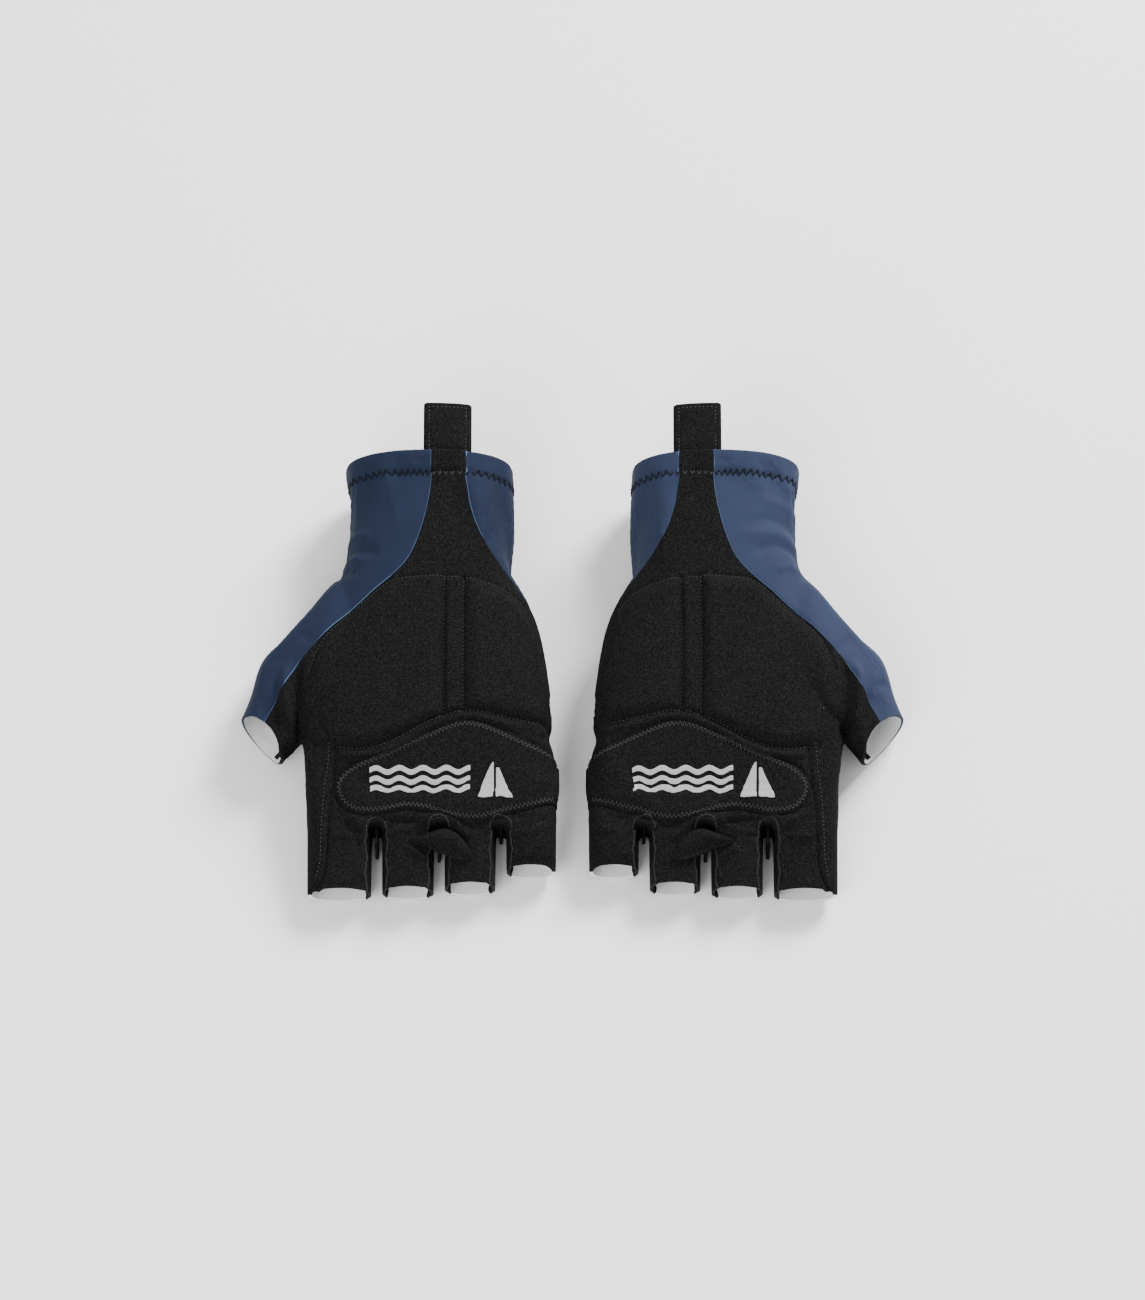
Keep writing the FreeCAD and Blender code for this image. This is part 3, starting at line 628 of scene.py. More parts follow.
def relax(points: Array, tris: Array, times: int, amount: float = 0.5) -> Array:
    """Draws each point towards the middle of its neighbours.

    Args:
        points: Places, shape (n, 3).
        tris: Corner indices.
        times: How many rounds.
        amount: Share of the way in each round.

    Returns:
        The relaxed places.
    """
    sides = np.unique(np.sort(edges(tris), axis=1), axis=0)
    a = np.concatenate([sides[:, 0], sides[:, 1]])
    b = np.concatenate([sides[:, 1], sides[:, 0]])
    degree = np.maximum(np.bincount(a, minlength=len(points)), 1)
    out = points.copy()
    for _ in range(times):
        mean = np.stack([np.bincount(a, out[b, k], len(points)) for k in range(3)], 1) / degree[:, None]
        out += amount * (mean - out)
    return out


# --------------------------------------------------------------------------- materials


def main_shader(material: bpy.types.Material) -> bpy.types.Node:
    """The shader of a new material."""
    return next(node for node in material.node_tree.nodes if node.type == "BSDF_PRINCIPLED")


def new_tree(name: str, kind: str, given: dict[str, str], made: dict[str, str]) -> bpy.types.NodeTree:
    """Makes a node group with its sockets and its ends.

    Args:
        name: The group's name.
        kind: Type of the tree.
        given: Inputs, each name with the last word of its socket's type.
        made: Outputs, in the same way.

    Returns:
        The group, with a node "given" and a node "made".
    """
    tree = bpy.data.node_groups.new(name, kind)
    for way, sockets in (("INPUT", given), ("OUTPUT", made)):
        for socket, word in sockets.items():
            tree.interface.new_socket(name=socket, in_out=way, socket_type=f"NodeSocket{word}")
    tree.nodes.new("NodeGroupInput").name = "given"
    tree.nodes.new("NodeGroupOutput").name = "made"
    return tree


def add_node(tree: bpy.types.NodeTree, kind: str, inputs: dict[str | int, Input] | None = None,
             **settings: object) -> bpy.types.Node:
    """Adds a node to a tree.

    Args:
        tree: The tree.
        kind: Type of the node.
        inputs: For each input, a value or the output that feeds it.
        **settings: The node's own settings.

    Returns:
        The node.
    """
    node = tree.nodes.new(kind)
    for name, value in settings.items():
        setattr(node, name, value)
    for name, value in (inputs or {}).items():
        if isinstance(value, bpy.types.NodeSocket):
            tree.links.new(value, node.inputs[name])
        else:
            node.inputs[name].default_value = value
    return node


@dataclass(frozen=True)
class Finish:
    """A cloth, thread or print finish.

    Attributes:
        name: Material's name.
        colour: Base colour, linear.
        fleck: Colour of its lighter fibres, linear.
        fleck_share: How much of the surface the fibres cover.
        grain: Size of the grain, in millimetres.
        relief: Depth of the grain, in millimetres.
        roughness: Roughness of the surface.
        ribs: Pitch of the knit's ribs in millimetres, or zero for none.
        edge: Colour of a thin line painted beside a seam, or None: a painted highlight, on the blue stretch
            partly its paler cut edge.
        edge_width: Width of that line, in millimetres.
        cloudiness: Strength of the slow change in tone.
        gloss: Strength of the mirror-like part of the surface.
    """

    name: str
    colour: tuple[float, float, float]
    fleck: tuple[float, float, float]
    fleck_share: float = 0.3
    grain: float = 0.5
    relief: float = 0.05
    roughness: float = 0.9
    ribs: float = 0.0
    edge: tuple[float, float, float] | None = None
    edge_width: float = 0.3
    cloudiness: float = 0.22
    gloss: float = 0.25

    @cache
    def build(self) -> bpy.types.Material:
        """Makes the material, once.

        Returns:
            The material.
        """
        material = bpy.data.materials.new(self.name)
        material.use_nodes = True
        material.diffuse_color = (*self.colour, 1.0)
        tree = material.node_tree
        shader = main_shader(material)
        surface = {
            "Place": add_node(tree, "ShaderNodeTexCoord").outputs["Object"],
            "Colour": (*self.colour, 1.0),
            "Fleck": (*self.fleck, 1.0),
            "Fleck share": self.fleck_share,
            "Grain": 1.0 / (self.grain * MM),
            "Cloudiness": self.cloudiness,
            "Ribs": 2 * math.pi / (self.ribs * MM) if self.ribs else 0.0,
            "Rib depth": 1.0 if self.ribs else 0.0,
        }
        cloth = add_node(tree, "ShaderNodeGroup", surface, node_tree=cloth_group())
        colour = cloth.outputs["Colour"]
        # Beside a seam a thin line of the edge colour is painted in: a painted highlight, on the blue stretch
        # partly its paler cut edge.
        if self.edge is not None:
            seam = add_node(tree, "ShaderNodeAttribute", attribute_name="seam").outputs["Fac"]
            reach = {"Value": seam, "From Min": self.edge_width, "From Max": self.edge_width * 0.35}
            ramp = add_node(tree, "ShaderNodeMapRange", reach).outputs["Result"]
            tones = {"Factor": ramp, "A": colour, "B": (*self.edge, 1.0)}
            colour = add_node(tree, "ShaderNodeMix", tones, data_type="RGBA").outputs["Result"]
        grain = {"Height": cloth.outputs["Height"], "Distance": self.relief * MM, "Strength": 1.0}
        relief = add_node(tree, "ShaderNodeBump", grain)
        tree.links.new(relief.outputs["Normal"], shader.inputs["Normal"])
        tree.links.new(colour, shader.inputs["Base Color"])
        shader.inputs["Roughness"].default_value = self.roughness
        shader.inputs["Specular IOR Level"].default_value = self.gloss
        return material


@cache
def cloth_group() -> bpy.types.NodeTree:
    """Makes the shader group of a cloth: fibres, slow clouds of tone and the ribs of a knit.

    Returns:
        The group, built once.
    """
    given = {"Place": "Vector", "Colour": "Color", "Fleck": "Color"}
    given |= {name: "Float" for name in ("Fleck share", "Grain", "Cloudiness", "Ribs", "Rib depth")}
    group = new_tree("cloth surface", "ShaderNodeTree", given, {"Colour": "Color", "Height": "Float"})
    source, target = group.nodes["given"].outputs, group.nodes["made"].inputs

    def maths(operation: str, *values: Input) -> bpy.types.NodeSocket:
        """The output of a new maths node."""
        node = add_node(group, "ShaderNodeMath", dict(enumerate(values)), operation=operation)
        return node.outputs[0]

    noise = {"Vector": source["Place"], "Detail": 3.0}
    fine = noise | {"Scale": source["Grain"], "Roughness": 0.7}
    fibres = add_node(group, "ShaderNodeTexNoise", fine).outputs["Fac"]
    clouds = add_node(group, "ShaderNodeTexNoise", noise | {"Scale": 90.0}).outputs["Fac"]
    place = add_node(group, "ShaderNodeSeparateXYZ", {0: source["Place"]}).outputs
    wale = maths("SINE", maths("MULTIPLY", maths("ADD", place["X"], place["Z"]), source["Ribs"]))
    course = maths("SINE", maths("MULTIPLY", place["Y"], source["Ribs"]))
    knit = maths("MULTIPLY", maths("MULTIPLY", wale, course), source["Rib depth"])

    reach = {"Value": fibres, "From Min": 0.42, "From Max": 0.74}
    flecked = add_node(group, "ShaderNodeMapRange", reach).outputs["Result"]
    share = maths("MULTIPLY", flecked, source["Fleck share"])
    tones = {"Factor": share, "A": source["Colour"], "B": source["Fleck"]}
    mixed = add_node(group, "ShaderNodeMix", tones, data_type="RGBA").outputs["Result"]
    tone = maths("MULTIPLY", maths("SUBTRACT", clouds, 0.5), source["Cloudiness"])
    value = maths("ADD", maths("ADD", tone, maths("MULTIPLY", knit, 0.05)), 1.0)
    shade = add_node(group, "ShaderNodeHueSaturation", {"Value": value, "Color": mixed})
    group.links.new(shade.outputs["Color"], target["Colour"])
    group.links.new(maths("ADD", fibres, maths("MULTIPLY", knit, 0.5)), target["Height"])
    return group


SUEDE = Finish("black suede", (0.0028, 0.0028, 0.0030), (0.026, 0.026, 0.027), 0.55, 0.62, 0.16, 0.95,
               gloss=0.05)
SUEDE_BACK = Finish("suede reverse", (0.022, 0.022, 0.023), (0.05, 0.05, 0.05), 0.4, 0.6, 0.05, gloss=0.1)
# Its edge colour is a painted highlight along the seams of the slots.
KNIT = Finish("black knit", (0.0036, 0.0036, 0.0039), (0.012, 0.012, 0.013), 0.3, 0.4, 0.05, 0.6, 0.5,
              (0.035, 0.035, 0.037), 0.35, gloss=0.1)
SEAM = Finish("rolled seam", (0.010, 0.010, 0.0105), (0.05, 0.05, 0.052), 0.6, 0.5, 0.06, 0.8, gloss=0.12)
# Both blues' edge colour is partly the cut edge's paler core beside the seams and partly a painted highlight.
BLUE_RIGHT = Finish("slate blue stretch", (0.0092, 0.0140, 0.0320), (0.0155, 0.0215, 0.0435), 0.35,
                    0.5, 0.04, 0.75, 0.5, (0.065, 0.125, 0.24), 0.36, gloss=0.08)
# The same blue again for the left-hand glove, made lighter: painted light, not a different cloth.
BLUE_LEFT_PAINTED_LIGHT = Finish("slate blue stretch, lighter", (0.0180, 0.0255, 0.0525), (0.027, 0.036, 0.067), 0.35,
                   0.5, 0.04, 0.75, 0.5, (0.055, 0.095, 0.18), 0.34, gloss=0.08)
WHITE = Finish("white reverse", (0.76, 0.76, 0.78), (0.84, 0.84, 0.85), 0.3, 0.5, 0.04, 0.85, 0.5)
FOAM = Finish("cut foam", (0.42, 0.41, 0.38), (0.55, 0.54, 0.5), 0.5, 0.8, 0.15)
SILICONE = Finish("grey silicone", (0.29, 0.295, 0.305), (0.35, 0.35, 0.36), 0.3, 0.9, 0.02, 0.42, gloss=0.3)
THREAD = Finish("black thread", (0.0035, 0.0035, 0.004), (0.012, 0.012, 0.012), 0.4, 0.2, 0.03, 0.6,
                gloss=0.1)
GREY_THREAD = Finish("grey thread", (0.040, 0.040, 0.042), (0.075, 0.075, 0.078), 0.4, 0.2, 0.03, 0.6,
                     gloss=0.15)
DARK_THREAD = Finish("charcoal thread", (0.024, 0.024, 0.025), (0.045, 0.045, 0.047), 0.4, 0.2, 0.03, 0.6,
                     gloss=0.15)


# --------------------------------------------------------------- panels with thickness


@dataclass
class Panel:
    """A stretch of cloth with the finishes of its sides and its thickness.

    Attributes:
        cloth: The stretch of skin.
        outer: Finish of the outside.
        inner: Finish of the inside.
        edge: Finish of the cut edge.
        lift: Height of the outside above the skin; a number or one for each point.
        depth: Thickness; a number or one for each point.
        rim: How the edge is closed.
        seam: Field whose size is the distance from the seam, for the thin line of edge colour beside it.
        sewn: Whether threads may lie on it.
    """

    cloth: Cloth
    outer: Finish
    inner: Finish
    edge: Finish
    lift: float | Array = 0.0
    depth: float | Array = 1.0
    rim: Rim = Rim.ROUND
    seam: Field | None = None
    sewn: bool = True

    def mesh(self) -> tuple[Array, Array, Array, Array, Array]:
        """Gives the panel its thickness.

        Returns:
            Points, faces as triangles, a normal for each face corner, each face's
            Face value, and each point's distance from the seam.
        """
        cloth = self.cloth
        count = len(cloth.points)
        lift = np.broadcast_to(np.asarray(self.lift, float), (count,))[:, None]
        depth = np.broadcast_to(np.asarray(self.depth, float), (count,))[:, None]
        outside = cloth.points + cloth.normals * lift
        inside_points = outside - cloth.normals * depth
        seam = self.seam(cloth.points) if self.seam else np.full(count, FAR)
        border = cloth.border()
        loop, index = np.unique(border, return_inverse=True)
        index = index.reshape(border.shape)
        outward = np.zeros((len(loop), 3))
        edge = cloth.points[border[:, 1]] - cloth.points[border[:, 0]]
        right = np.cross(edge, cloth.normals[border].mean(axis=1))
        for k in range(2):
            for axis in range(3):
                outward[:, axis] += np.bincount(index[:, k], right[:, axis], len(loop))
        outward = unit(outward)
        steps = self.rim.value
        middle = (outside + inside_points)[loop] / 2
        rings = [loop]
        points = [outside, inside_points]
        total = 2 * count
        ring_normals = {0: cloth.normals[loop]}
        for k in range(1, steps + 1):
            turn = math.pi * k / (steps + 1)
            way = cloth.normals[loop] * math.cos(turn) + outward * math.sin(turn)
            points.append(middle + way * depth[loop] / 2)
            ring_normals[k] = way
            rings.append(total + np.arange(len(loop)))
            total += len(loop)
        rings.append(loop + count)
        ring_normals[steps + 1] = -cloth.normals[loop]
        faces = [cloth.tris, cloth.tris[:, ::-1] + count]
        normals = [cloth.normals[cloth.tris], -cloth.normals[cloth.tris[:, ::-1]]]
        kinds = [np.full(len(cloth.tris), Face.OUTER.value), np.full(len(cloth.tris), Face.INNER.value)]
        for k in range(steps + 1):
            near, far = rings[k], rings[k + 1]
            a, b = near[index[:, 0]], near[index[:, 1]]
            c, d = far[index[:, 1]], far[index[:, 0]]
            if steps:
                na, nb = ring_normals[k][index[:, 0]], ring_normals[k][index[:, 1]]
                nc, nd = ring_normals[k + 1][index[:, 1]], ring_normals[k + 1][index[:, 0]]
            else:
                na, nb, nc, nd = (outward[index[:, j]] for j in (0, 1, 1, 0))
            faces += [np.stack([a, d, c], 1), np.stack([a, c, b], 1)]
            normals += [np.stack([na, nd, nc], 1), np.stack([na, nc, nb], 1)]
            kinds += [np.full(2 * len(border), Face.EDGE.value)]
        ring_seam = [seam[loop]] * steps
        return (np.vstack(points), np.vstack(faces), np.vstack(normals), np.concatenate(kinds),
                np.concatenate([seam, seam] + ring_seam))


def plain(cloth: Cloth, finish: Finish, lift: float | Array, depth: float | Array,
          sewn: bool = True) -> Panel:
    """A panel that has one finish all over."""
    return Panel(cloth, finish, finish, finish, lift, depth, sewn=sewn)


def add_object(name: str, data: bpy.types.ID) -> bpy.types.Object:
    """Puts a new object in the scene.

    Args:
        name: The object's name.
        data: Its mesh, curve, light or camera.

    Returns:
        The object.
    """
    item = bpy.data.objects.new(name, data)
    bpy.context.scene.collection.objects.link(item)
    return item


def baked(item: bpy.types.Object) -> bpy.types.Mesh:
    """A mesh of an object with its modifiers applied."""
    graph = bpy.context.evaluated_depsgraph_get()
    return bpy.data.meshes.new_from_object(item.evaluated_get(graph), depsgraph=graph)


def make_object(name: str, points: Array, faces: Array | list[list[int]]) -> bpy.types.Object:
    """Makes a plain mesh object in the scene, at the origin.

    Args:
        name: The object's name.
        points: Places, in metres.
        faces: Corner indices.

    Returns:
        The object.
    """
    mesh = bpy.data.meshes.new(name)
    mesh.from_pydata(points.tolist(), [], faces if isinstance(faces, list) else faces.tolist())
    mesh.update()
    return add_object(name, mesh)


def dress(mesh: bpy.types.Mesh, materials: Sequence[bpy.types.Material], slots: Array) -> None:
    """Gives a mesh its materials and smooth shading.

    Args:
        mesh: The mesh.
        materials: Its materials.
        slots: Each face's material, by number.
    """
    for material in materials:
        mesh.materials.append(material)
    mesh.polygons.foreach_set("material_index", np.asarray(slots, np.int32))
    mesh.polygons.foreach_set("use_smooth", np.ones(len(mesh.polygons), bool))


def make_piece(name: str, panels: Iterable[Panel], hand: Hand) -> bpy.types.Object:
    """Makes one piece from its panels.

    Args:
        name: The piece's name.
        panels: Panels that the piece is made of.
        hand: Which glove it belongs to.

    Returns:
        The piece, in the frame's metres.
    """
    points, faces, normals, slots, seams, finishes = [], [], [], [], [], []
    total = 0
    for panel in panels:
        if not len(panel.cloth.tris):
            continue
        p, f, n, kind, seam = panel.mesh()
        sides = (panel.outer, panel.inner, panel.edge)
        for finish in sides:
            if finish not in finishes:
                finishes.append(finish)
        number = np.array([finishes.index(finish) for finish in sides])
        points.append(p)
        faces.append(f + total)
        normals.append(n)
        slots.append(number[kind])
        seams.append(seam)
        total += len(p)
    place = PLAN.metres(np.vstack(points), hand)
    corner = np.vstack(normals) * np.array([hand.value, 1, 1])
    triangle = np.vstack(faces)
    if hand is Hand.LEFT:
        triangle, corner = triangle[:, ::-1], corner[:, ::-1]
    item = make_object(name, place, triangle)
    mesh = item.data
    dress(mesh, [finish.build() for finish in finishes], np.concatenate(slots))
    attribute = mesh.attributes.new("seam", "FLOAT", "POINT")
    attribute.data.foreach_set("value", np.abs(np.concatenate(seams)).astype(np.float32))
    mesh.normals_split_custom_set(corner.reshape(-1, 3).tolist())
    LOG.info("%s: %d triangles", name, len(triangle))
    return item


# ----------------------------------------------------------------------------- the skin


@dataclass(frozen=True)
class Ring:
    """A cross-section of a tube.

    Attributes:
        outer: Plan point of one side.
        inner: Plan point of the other side.
        low: Lowest height.
        high: Greatest height.
        top: Exponent of the upper half: 2 is an ellipse, more is squarer.
        bottom: Exponent of the lower half.
    """

    outer: Point2
    inner: Point2
    low: float
    high: float
    top: float = 2.6
    bottom: float = 3.4

    def numbers(self) -> Array:
        """The ring's sizes as one row, to blend two rings."""
        return np.array([*self.outer, *self.inner, self.low, self.high, self.top, self.bottom])


def tube(rings: Sequence[Ring], steps: int = 5, around: int = 96) -> tuple[Array, list[list[int]]]:
    """Makes a closed tube through rings.

    Args:
        rings: Cross-sections in order.
        steps: Steps from each ring to the next.
        around: Points round each ring.

    Returns:
        Points and faces: quads along the tube and a fan of triangles at each end.
    """
    rows = np.stack([ring.numbers() for ring in rings])
    padded = extended(rows)
    blended = [between(a, b, c, d, t)
               for a, b, c, d in zip(padded, padded[1:], padded[2:], padded[3:])
               for t in np.linspace(0.0, 1.0, steps, endpoint=False)]
    blended.append(rows[-1])
    angle = np.linspace(0.0, 2 * math.pi, around, endpoint=False)
    points = []
    for x0, y0, x1, y1, low, high, top, bottom in blended:
        power = 2.0 / np.where(np.sin(angle) >= 0, top, bottom)
        across = np.sign(np.cos(angle)) * np.abs(np.cos(angle)) ** power
        rise = np.sign(np.sin(angle)) * np.abs(np.sin(angle)) ** power
        middle, half = np.array([x0 + x1, y0 + y1]) / 2, np.array([x1 - x0, y1 - y0]) / 2
        plan = middle + across[:, None] * half
        points.append(np.column_stack([plan, (low + high) / 2 + rise * (high - low) / 2]))
    count = len(points)
    faces = []
    ring = np.arange(around)
    following = (ring + 1) % around
    for k in range(count - 1):
        a, b = k * around, (k + 1) * around
        faces += np.column_stack([a + ring, a + following, b + following, b + ring]).tolist()
    points += [end.mean(axis=0)[None] for end in (points[0], points[-1])]
    first, last = count * around, count * around + 1
    faces += [[first, int(j), int(i)] for i, j in zip(ring, following)]
    shift = (count - 1) * around
    faces += [[last, shift + int(i), shift + int(j)] for i, j in zip(ring, following)]
    return np.vstack(points), faces


CLOTH_SETTINGS = {
    "quality": 6,
    "mass": 0.15,
    "tension_stiffness": 12.0,
    "compression_stiffness": 12.0,
    "shear_stiffness": 6.0,
    "bending_stiffness": 0.12,
    "use_pressure": True,
    "uniform_pressure_force": 0.35,
}
CLOTH_EXCESS = {Hand.RIGHT: -0.035, Hand.LEFT: -0.042}      # negative: larger than its shape
CLOTH_GRAVITY = 0.35


@dataclass
class Skin:
    """The whole outside of one glove before it is cut into panels.

    Attributes:
        hand: Which glove it is.
        voxel: Grid of the skin's mesh.
        cage_voxel: Grid of the coarse mesh that goes as cloth.
        cap: The most that the cloth may move.
        frames: Steps of the cloth's settling.
        spread: How far the stalls are kept apart in the union.
        inset: How far the sides lie in from the shape, for the panels' lap.
        cloth: The finished skin.
    """

    hand: Hand
    voxel: float = 0.85
    cage_voxel: float = 3.4
    cap: float = 2.2
    frames: int = 16
    spread: float = 1.1
    inset: float = 0.45
    cloth: Cloth = field(init=False)

    def __post_init__(self) -> None:
        """Builds the skin and shapes it."""
        points, tris = self.union(self.voxel)
        points = self.draw_together(relax(points, tris, 9))
        points = self.settle(points)
        points = self.shape(points, tris)
        points[:, 2] = np.maximum(points[:, 2], 0.0)
        self.cloth = Cloth(points, vertex_normals(points, tris), tris)

    def tubes(self) -> list[list[Ring]]:
        """Lists the tubes that the skin is joined from.

        Returns:
            The rings of the hand, of the thumb stall and of each finger stall.
        """
        top = PLAN.top
        hand = [
            Ring((-84.9, PLAN.rim + 5), (-21.9, PLAN.rim + 5), 0.0, top + 0.2, 2.3, 2.6),
            Ring((CUFF_LEFT, PLAN.rim), (CUFF_RIGHT, PLAN.rim), 0.0, top, CUFF_POWER, 2.6),
            Ring((-84.2, 153.0), (-22.6, 153.0), 0.0, top - 0.9, 2.3, 2.7),
            Ring((-84.3, 142.0), (-22.5, 142.0), 0.0, top - 1.8, 2.3, 2.8),
            Ring((-85.3, 129.0), (-22.2, 129.0), 0.0, top - 3.0, 2.4, 3.0),
            Ring((-87.3, 119.4), (-20.9, 119.4), 0.0, top - 4.4, 2.5, 3.2),
            Ring((-89.5, 110.0), (-17.0, 110.0), 0.0, top - 5.6, 2.6, 3.4),
            Ring((-94.0, 95.0), (-12.6, 95.0), 0.0, top - 7.0, 2.7, 3.6),
            Ring((-97.0, 78.0), (-10.2, 78.0), 0.0, top - 8.8, 2.9, 3.8),
            Ring((-98.4, 62.0), (-8.8, 62.0), 0.0, top - 11.0, 3.0, 4.0),
            Ring((-98.0, 44.0), (-6.8, 44.0), 0.0, top - 15.4, 3.2, 4.0),
            Ring((-97.5, 32.0), (-6.2, 32.0), 0.0, top - 20.0, 3.4, 4.0),
            Ring((-97.3, 23.2), (-6.0, 23.2), 0.0, top - 23.0, 3.6, 4.0),
        ]
        stalls = []
        for stall in PLAN.stalls:
            tip = stall.tip
            left = stall.left + (self.spread if stall is not PLAN.stalls[0] else 0.0)
            right = stall.right - (self.spread if stall is not PLAN.stalls[-1] else 0.0)
            stalls.append([
                Ring((left, tip - 5), (right, tip - 5), 0.0, 12.4, 2.2, 2.3),
                Ring((left, tip), (right, tip), 0.0, 12.8, 2.3, 2.4),
                Ring((left, 13.0), (right, 13.0), 0.0, 15.8, 2.7, 3.0),
                Ring((left, 21.0), (right, 21.0), 0.0, 18.2, 3.0, 3.4),
                Ring((left, 30.0), (right, 30.0), 0.4, 19.6, 3.2, 3.6),
                Ring((left + 0.5, 38.0), (right - 0.5, 38.0), 0.8, 20.0, 3.2, 3.6),
            ])
        way = np.array([-0.453, -0.892])
        past_outer = tuple(np.array(THUMB_OUTER) + 6 * way)
        past_inner = tuple(np.array(THUMB_INNER) + 6 * way)
        thumb = [
            Ring((-74.0, 120.0), (-86.0, 66.0), 1.2, 32.0, 2.6, 3.2),
            Ring(SHOULDER, (-98.3, 60.0), 1.2, 32.4, 2.4, 3.0),
            Ring((-101.0, 106.2), (-100.0, 57.5), 0.8, 30.0, 2.3, 2.8),
            Ring((-114.6, 90.6), (-102.9, 54.6), 0.5, 26.4, 2.2, 2.5),
            Ring((-119.4, 75.6), (-105.2, 52.4), 0.5, 23.4, 2.2, 2.4),
            Ring(THUMB_OUTER, THUMB_INNER, 0.5, 21.8, 2.2, 2.3),
            Ring(past_outer, past_inner, 0.5, 20.8, 2.2, 2.3),
        ]
        return [hand, thumb] + stalls

    def draw_together(self, points: Array) -> Array:
        """Narrows the slots to their width, after the stalls were kept apart in the union.

        Args:
            points: Places of the skin.

        Returns:
            The places with the slots narrowed.
        """
        out = points.copy()
        for x, end in zip(PLAN.slots, SLOT_ENDS):
            away = out[:, 0] - x
            near = smooth(7.5, 1.8, np.abs(away)) * smooth(end + 1.6, end - 1.6, out[:, 1])
            out[:, 0] -= np.sign(away) * self.spread * near
        return out

    def union(self, voxel: float) -> tuple[Array, Array]:
        """Joins the tubes into one closed mesh.

        Args:
            voxel: Size of the union's grid.

        Returns:
            Points and triangles.
        """
        points, faces = [], []
        total = 0
        for rings in self.tubes():
            p, f = tube(rings)
            points.append(p)
            faces += [[total + k for k in one] for one in f]
            total += len(p)
        item = make_object("tubes", np.vstack(points) * MM, faces)
        mesh = item.data
        remesh = item.modifiers.new("union", "REMESH")
        remesh.mode = "VOXEL"
        remesh.voxel_size = voxel * MM
        remesh.use_remove_disconnected = False
        cloth = evaluated(item)
        bpy.data.objects.remove(item)
        bpy.data.meshes.remove(mesh)
        return cloth

    def settle(self, points: Array) -> Array:
        """Lets the skin go as cloth and takes over how it moved.

        A coarse copy is a little too large for its shape and held at its openings, so
        it buckles softly as an empty glove does.

        Args:
            points: Places of the fine skin.

        Returns:
            The places after the cloth has settled.
        """
        cage, tris = self.union(self.cage_voxel)
        cage = relax(cage, tris, 2)
        item = make_object("cage", cage * MM, tris)
        group = item.vertex_groups.new(name="held")
        held = (smooth(8.0, 0.0, PLAN.rim - cage[:, 1]) + smooth(38.0, 27.0, cage[:, 1])
                + smooth(1.6, 0.2, cage[:, 2]) + smooth(-112.0, -118.0, cage[:, 0]))
        for index, weight in enumerate(np.clip(held, 0.0, 1.0)):
            group.add([index], float(weight), "REPLACE")
        modifier = item.modifiers.new("cloth", "CLOTH")
        settings = modifier.settings
        for name, value in CLOTH_SETTINGS.items():
            setattr(settings, name, value)
        settings.vertex_group_mass = "held"
        settings.shrink_min = CLOTH_EXCESS[self.hand]
        settings.effector_weights.gravity = CLOTH_GRAVITY
        modifier.collision_settings.use_self_collision = False
        modifier.collision_settings.use_collision = False
        modifier.point_cache.frame_start = 1
        modifier.point_cache.frame_end = self.frames
        scene = bpy.context.scene
        for frame_number in range(1, self.frames + 1):
            scene.frame_set(frame_number)
        moved, _ = evaluated(item)
        scene.frame_set(1)
        bpy.data.objects.remove(item)
        shift = moved - cage
        length = np.linalg.norm(shift, axis=1, keepdims=True)
        shift *= np.minimum(1.0, self.cap / np.maximum(length, 1e-9))
        shift = relax(shift, tris, 1)
        LOG.info("cloth moved %.2f mm on average, %.2f at most", length.mean(), length.max())
        tree = KDTree(len(cage))
        for index, place in enumerate(cage):
            tree.insert(place, index)
        tree.balance()
        out = points.copy()
        for index, place in enumerate(points):
            near = tree.find_n(place, 6)
            weights = np.array([1.0 / (0.4 + distance) ** 2 for _, _, distance in near])
            rows = [number for _, number, _ in near]
            out[index] += weights @ shift[rows] / weights.sum()
        return out

    def shape(self, points: Array, tris: Array) -> Array:
        """Raises the pads and presses in the stitched grooves and folds.

        Args:
            points: Places of the skin.
            tris: Its triangles.

        Returns:
            The shaped places.
        """
        normals = vertex_normals(points, tris)
        upper = smooth(-0.05, 0.35, normals[:, 2]) * smooth(5.0, 11.0, points[:, 2])
        thenar, hypothenar = inside(points, THENAR), inside(points, HYPOTHENAR)
        foot = along(points, PAD_FOOT)
        lift = 2.1 * smooth(-0.6, 5.0, thenar) + 1.9 * smooth(-0.6, 5.0, hypothenar)
        bar = smooth(0.0, 1.2, 3.55 - np.abs(points[:, 0] + 43.75))
        lift += 0.9 * bar * smooth(62.0, 66.0, points[:, 1]) * smooth(115.5, 113.0, points[:, 1])
        for groove, depth, width in (*((c, 1.05, 0.85) for c in CHANNELS),
                                     (PAD_TOP, 0.55, 0.8), (PAD_ARC, 0.9, 1.0)):
            lift -= bump(depth, along(points, groove)[0], width)
        within = smooth(0.0, 0.06, foot[2]) * smooth(1.0, 0.96, foot[2])
        lift -= bump(1.0, foot[0], 0.95) * (0.4 + 0.6 * within)
        ridge = bump(1.5, foot[1] + 2.6, 1.2) * within
        lift += ridge * (0.5 + 0.5 * smooth(0.85, 0.45, foot[2]))
        lift -= bump(0.7, inside(points, PATCH) + 0.9, 0.8) * smooth(20.0, 26.0, points[:, 1])
        lift -= bump(1.0, along(points, INDEX_SEAM)[0], 0.7) * smooth(58.0, 52.0, points[:, 1])
        lift += bump(0.55, web_field(points) + 0.7, 0.65)
        for fold in SHARED_FOLDS + (RIGHT_FOLDS if self.hand is Hand.RIGHT else LEFT_FOLDS):
            lift += fold.lift(points)
        rim_step = 0.35 * smooth(PLAN.hem - 0.9, PLAN.hem + 1.2, points[:, 1])
        stitch = bump(-0.3, points[:, 1] - PLAN.hem, 0.8)
        slack = np.array([self.inset, self.inset, 0.0])
        return points + normals * ((lift * upper + rim_step + stitch)[:, None] - slack)


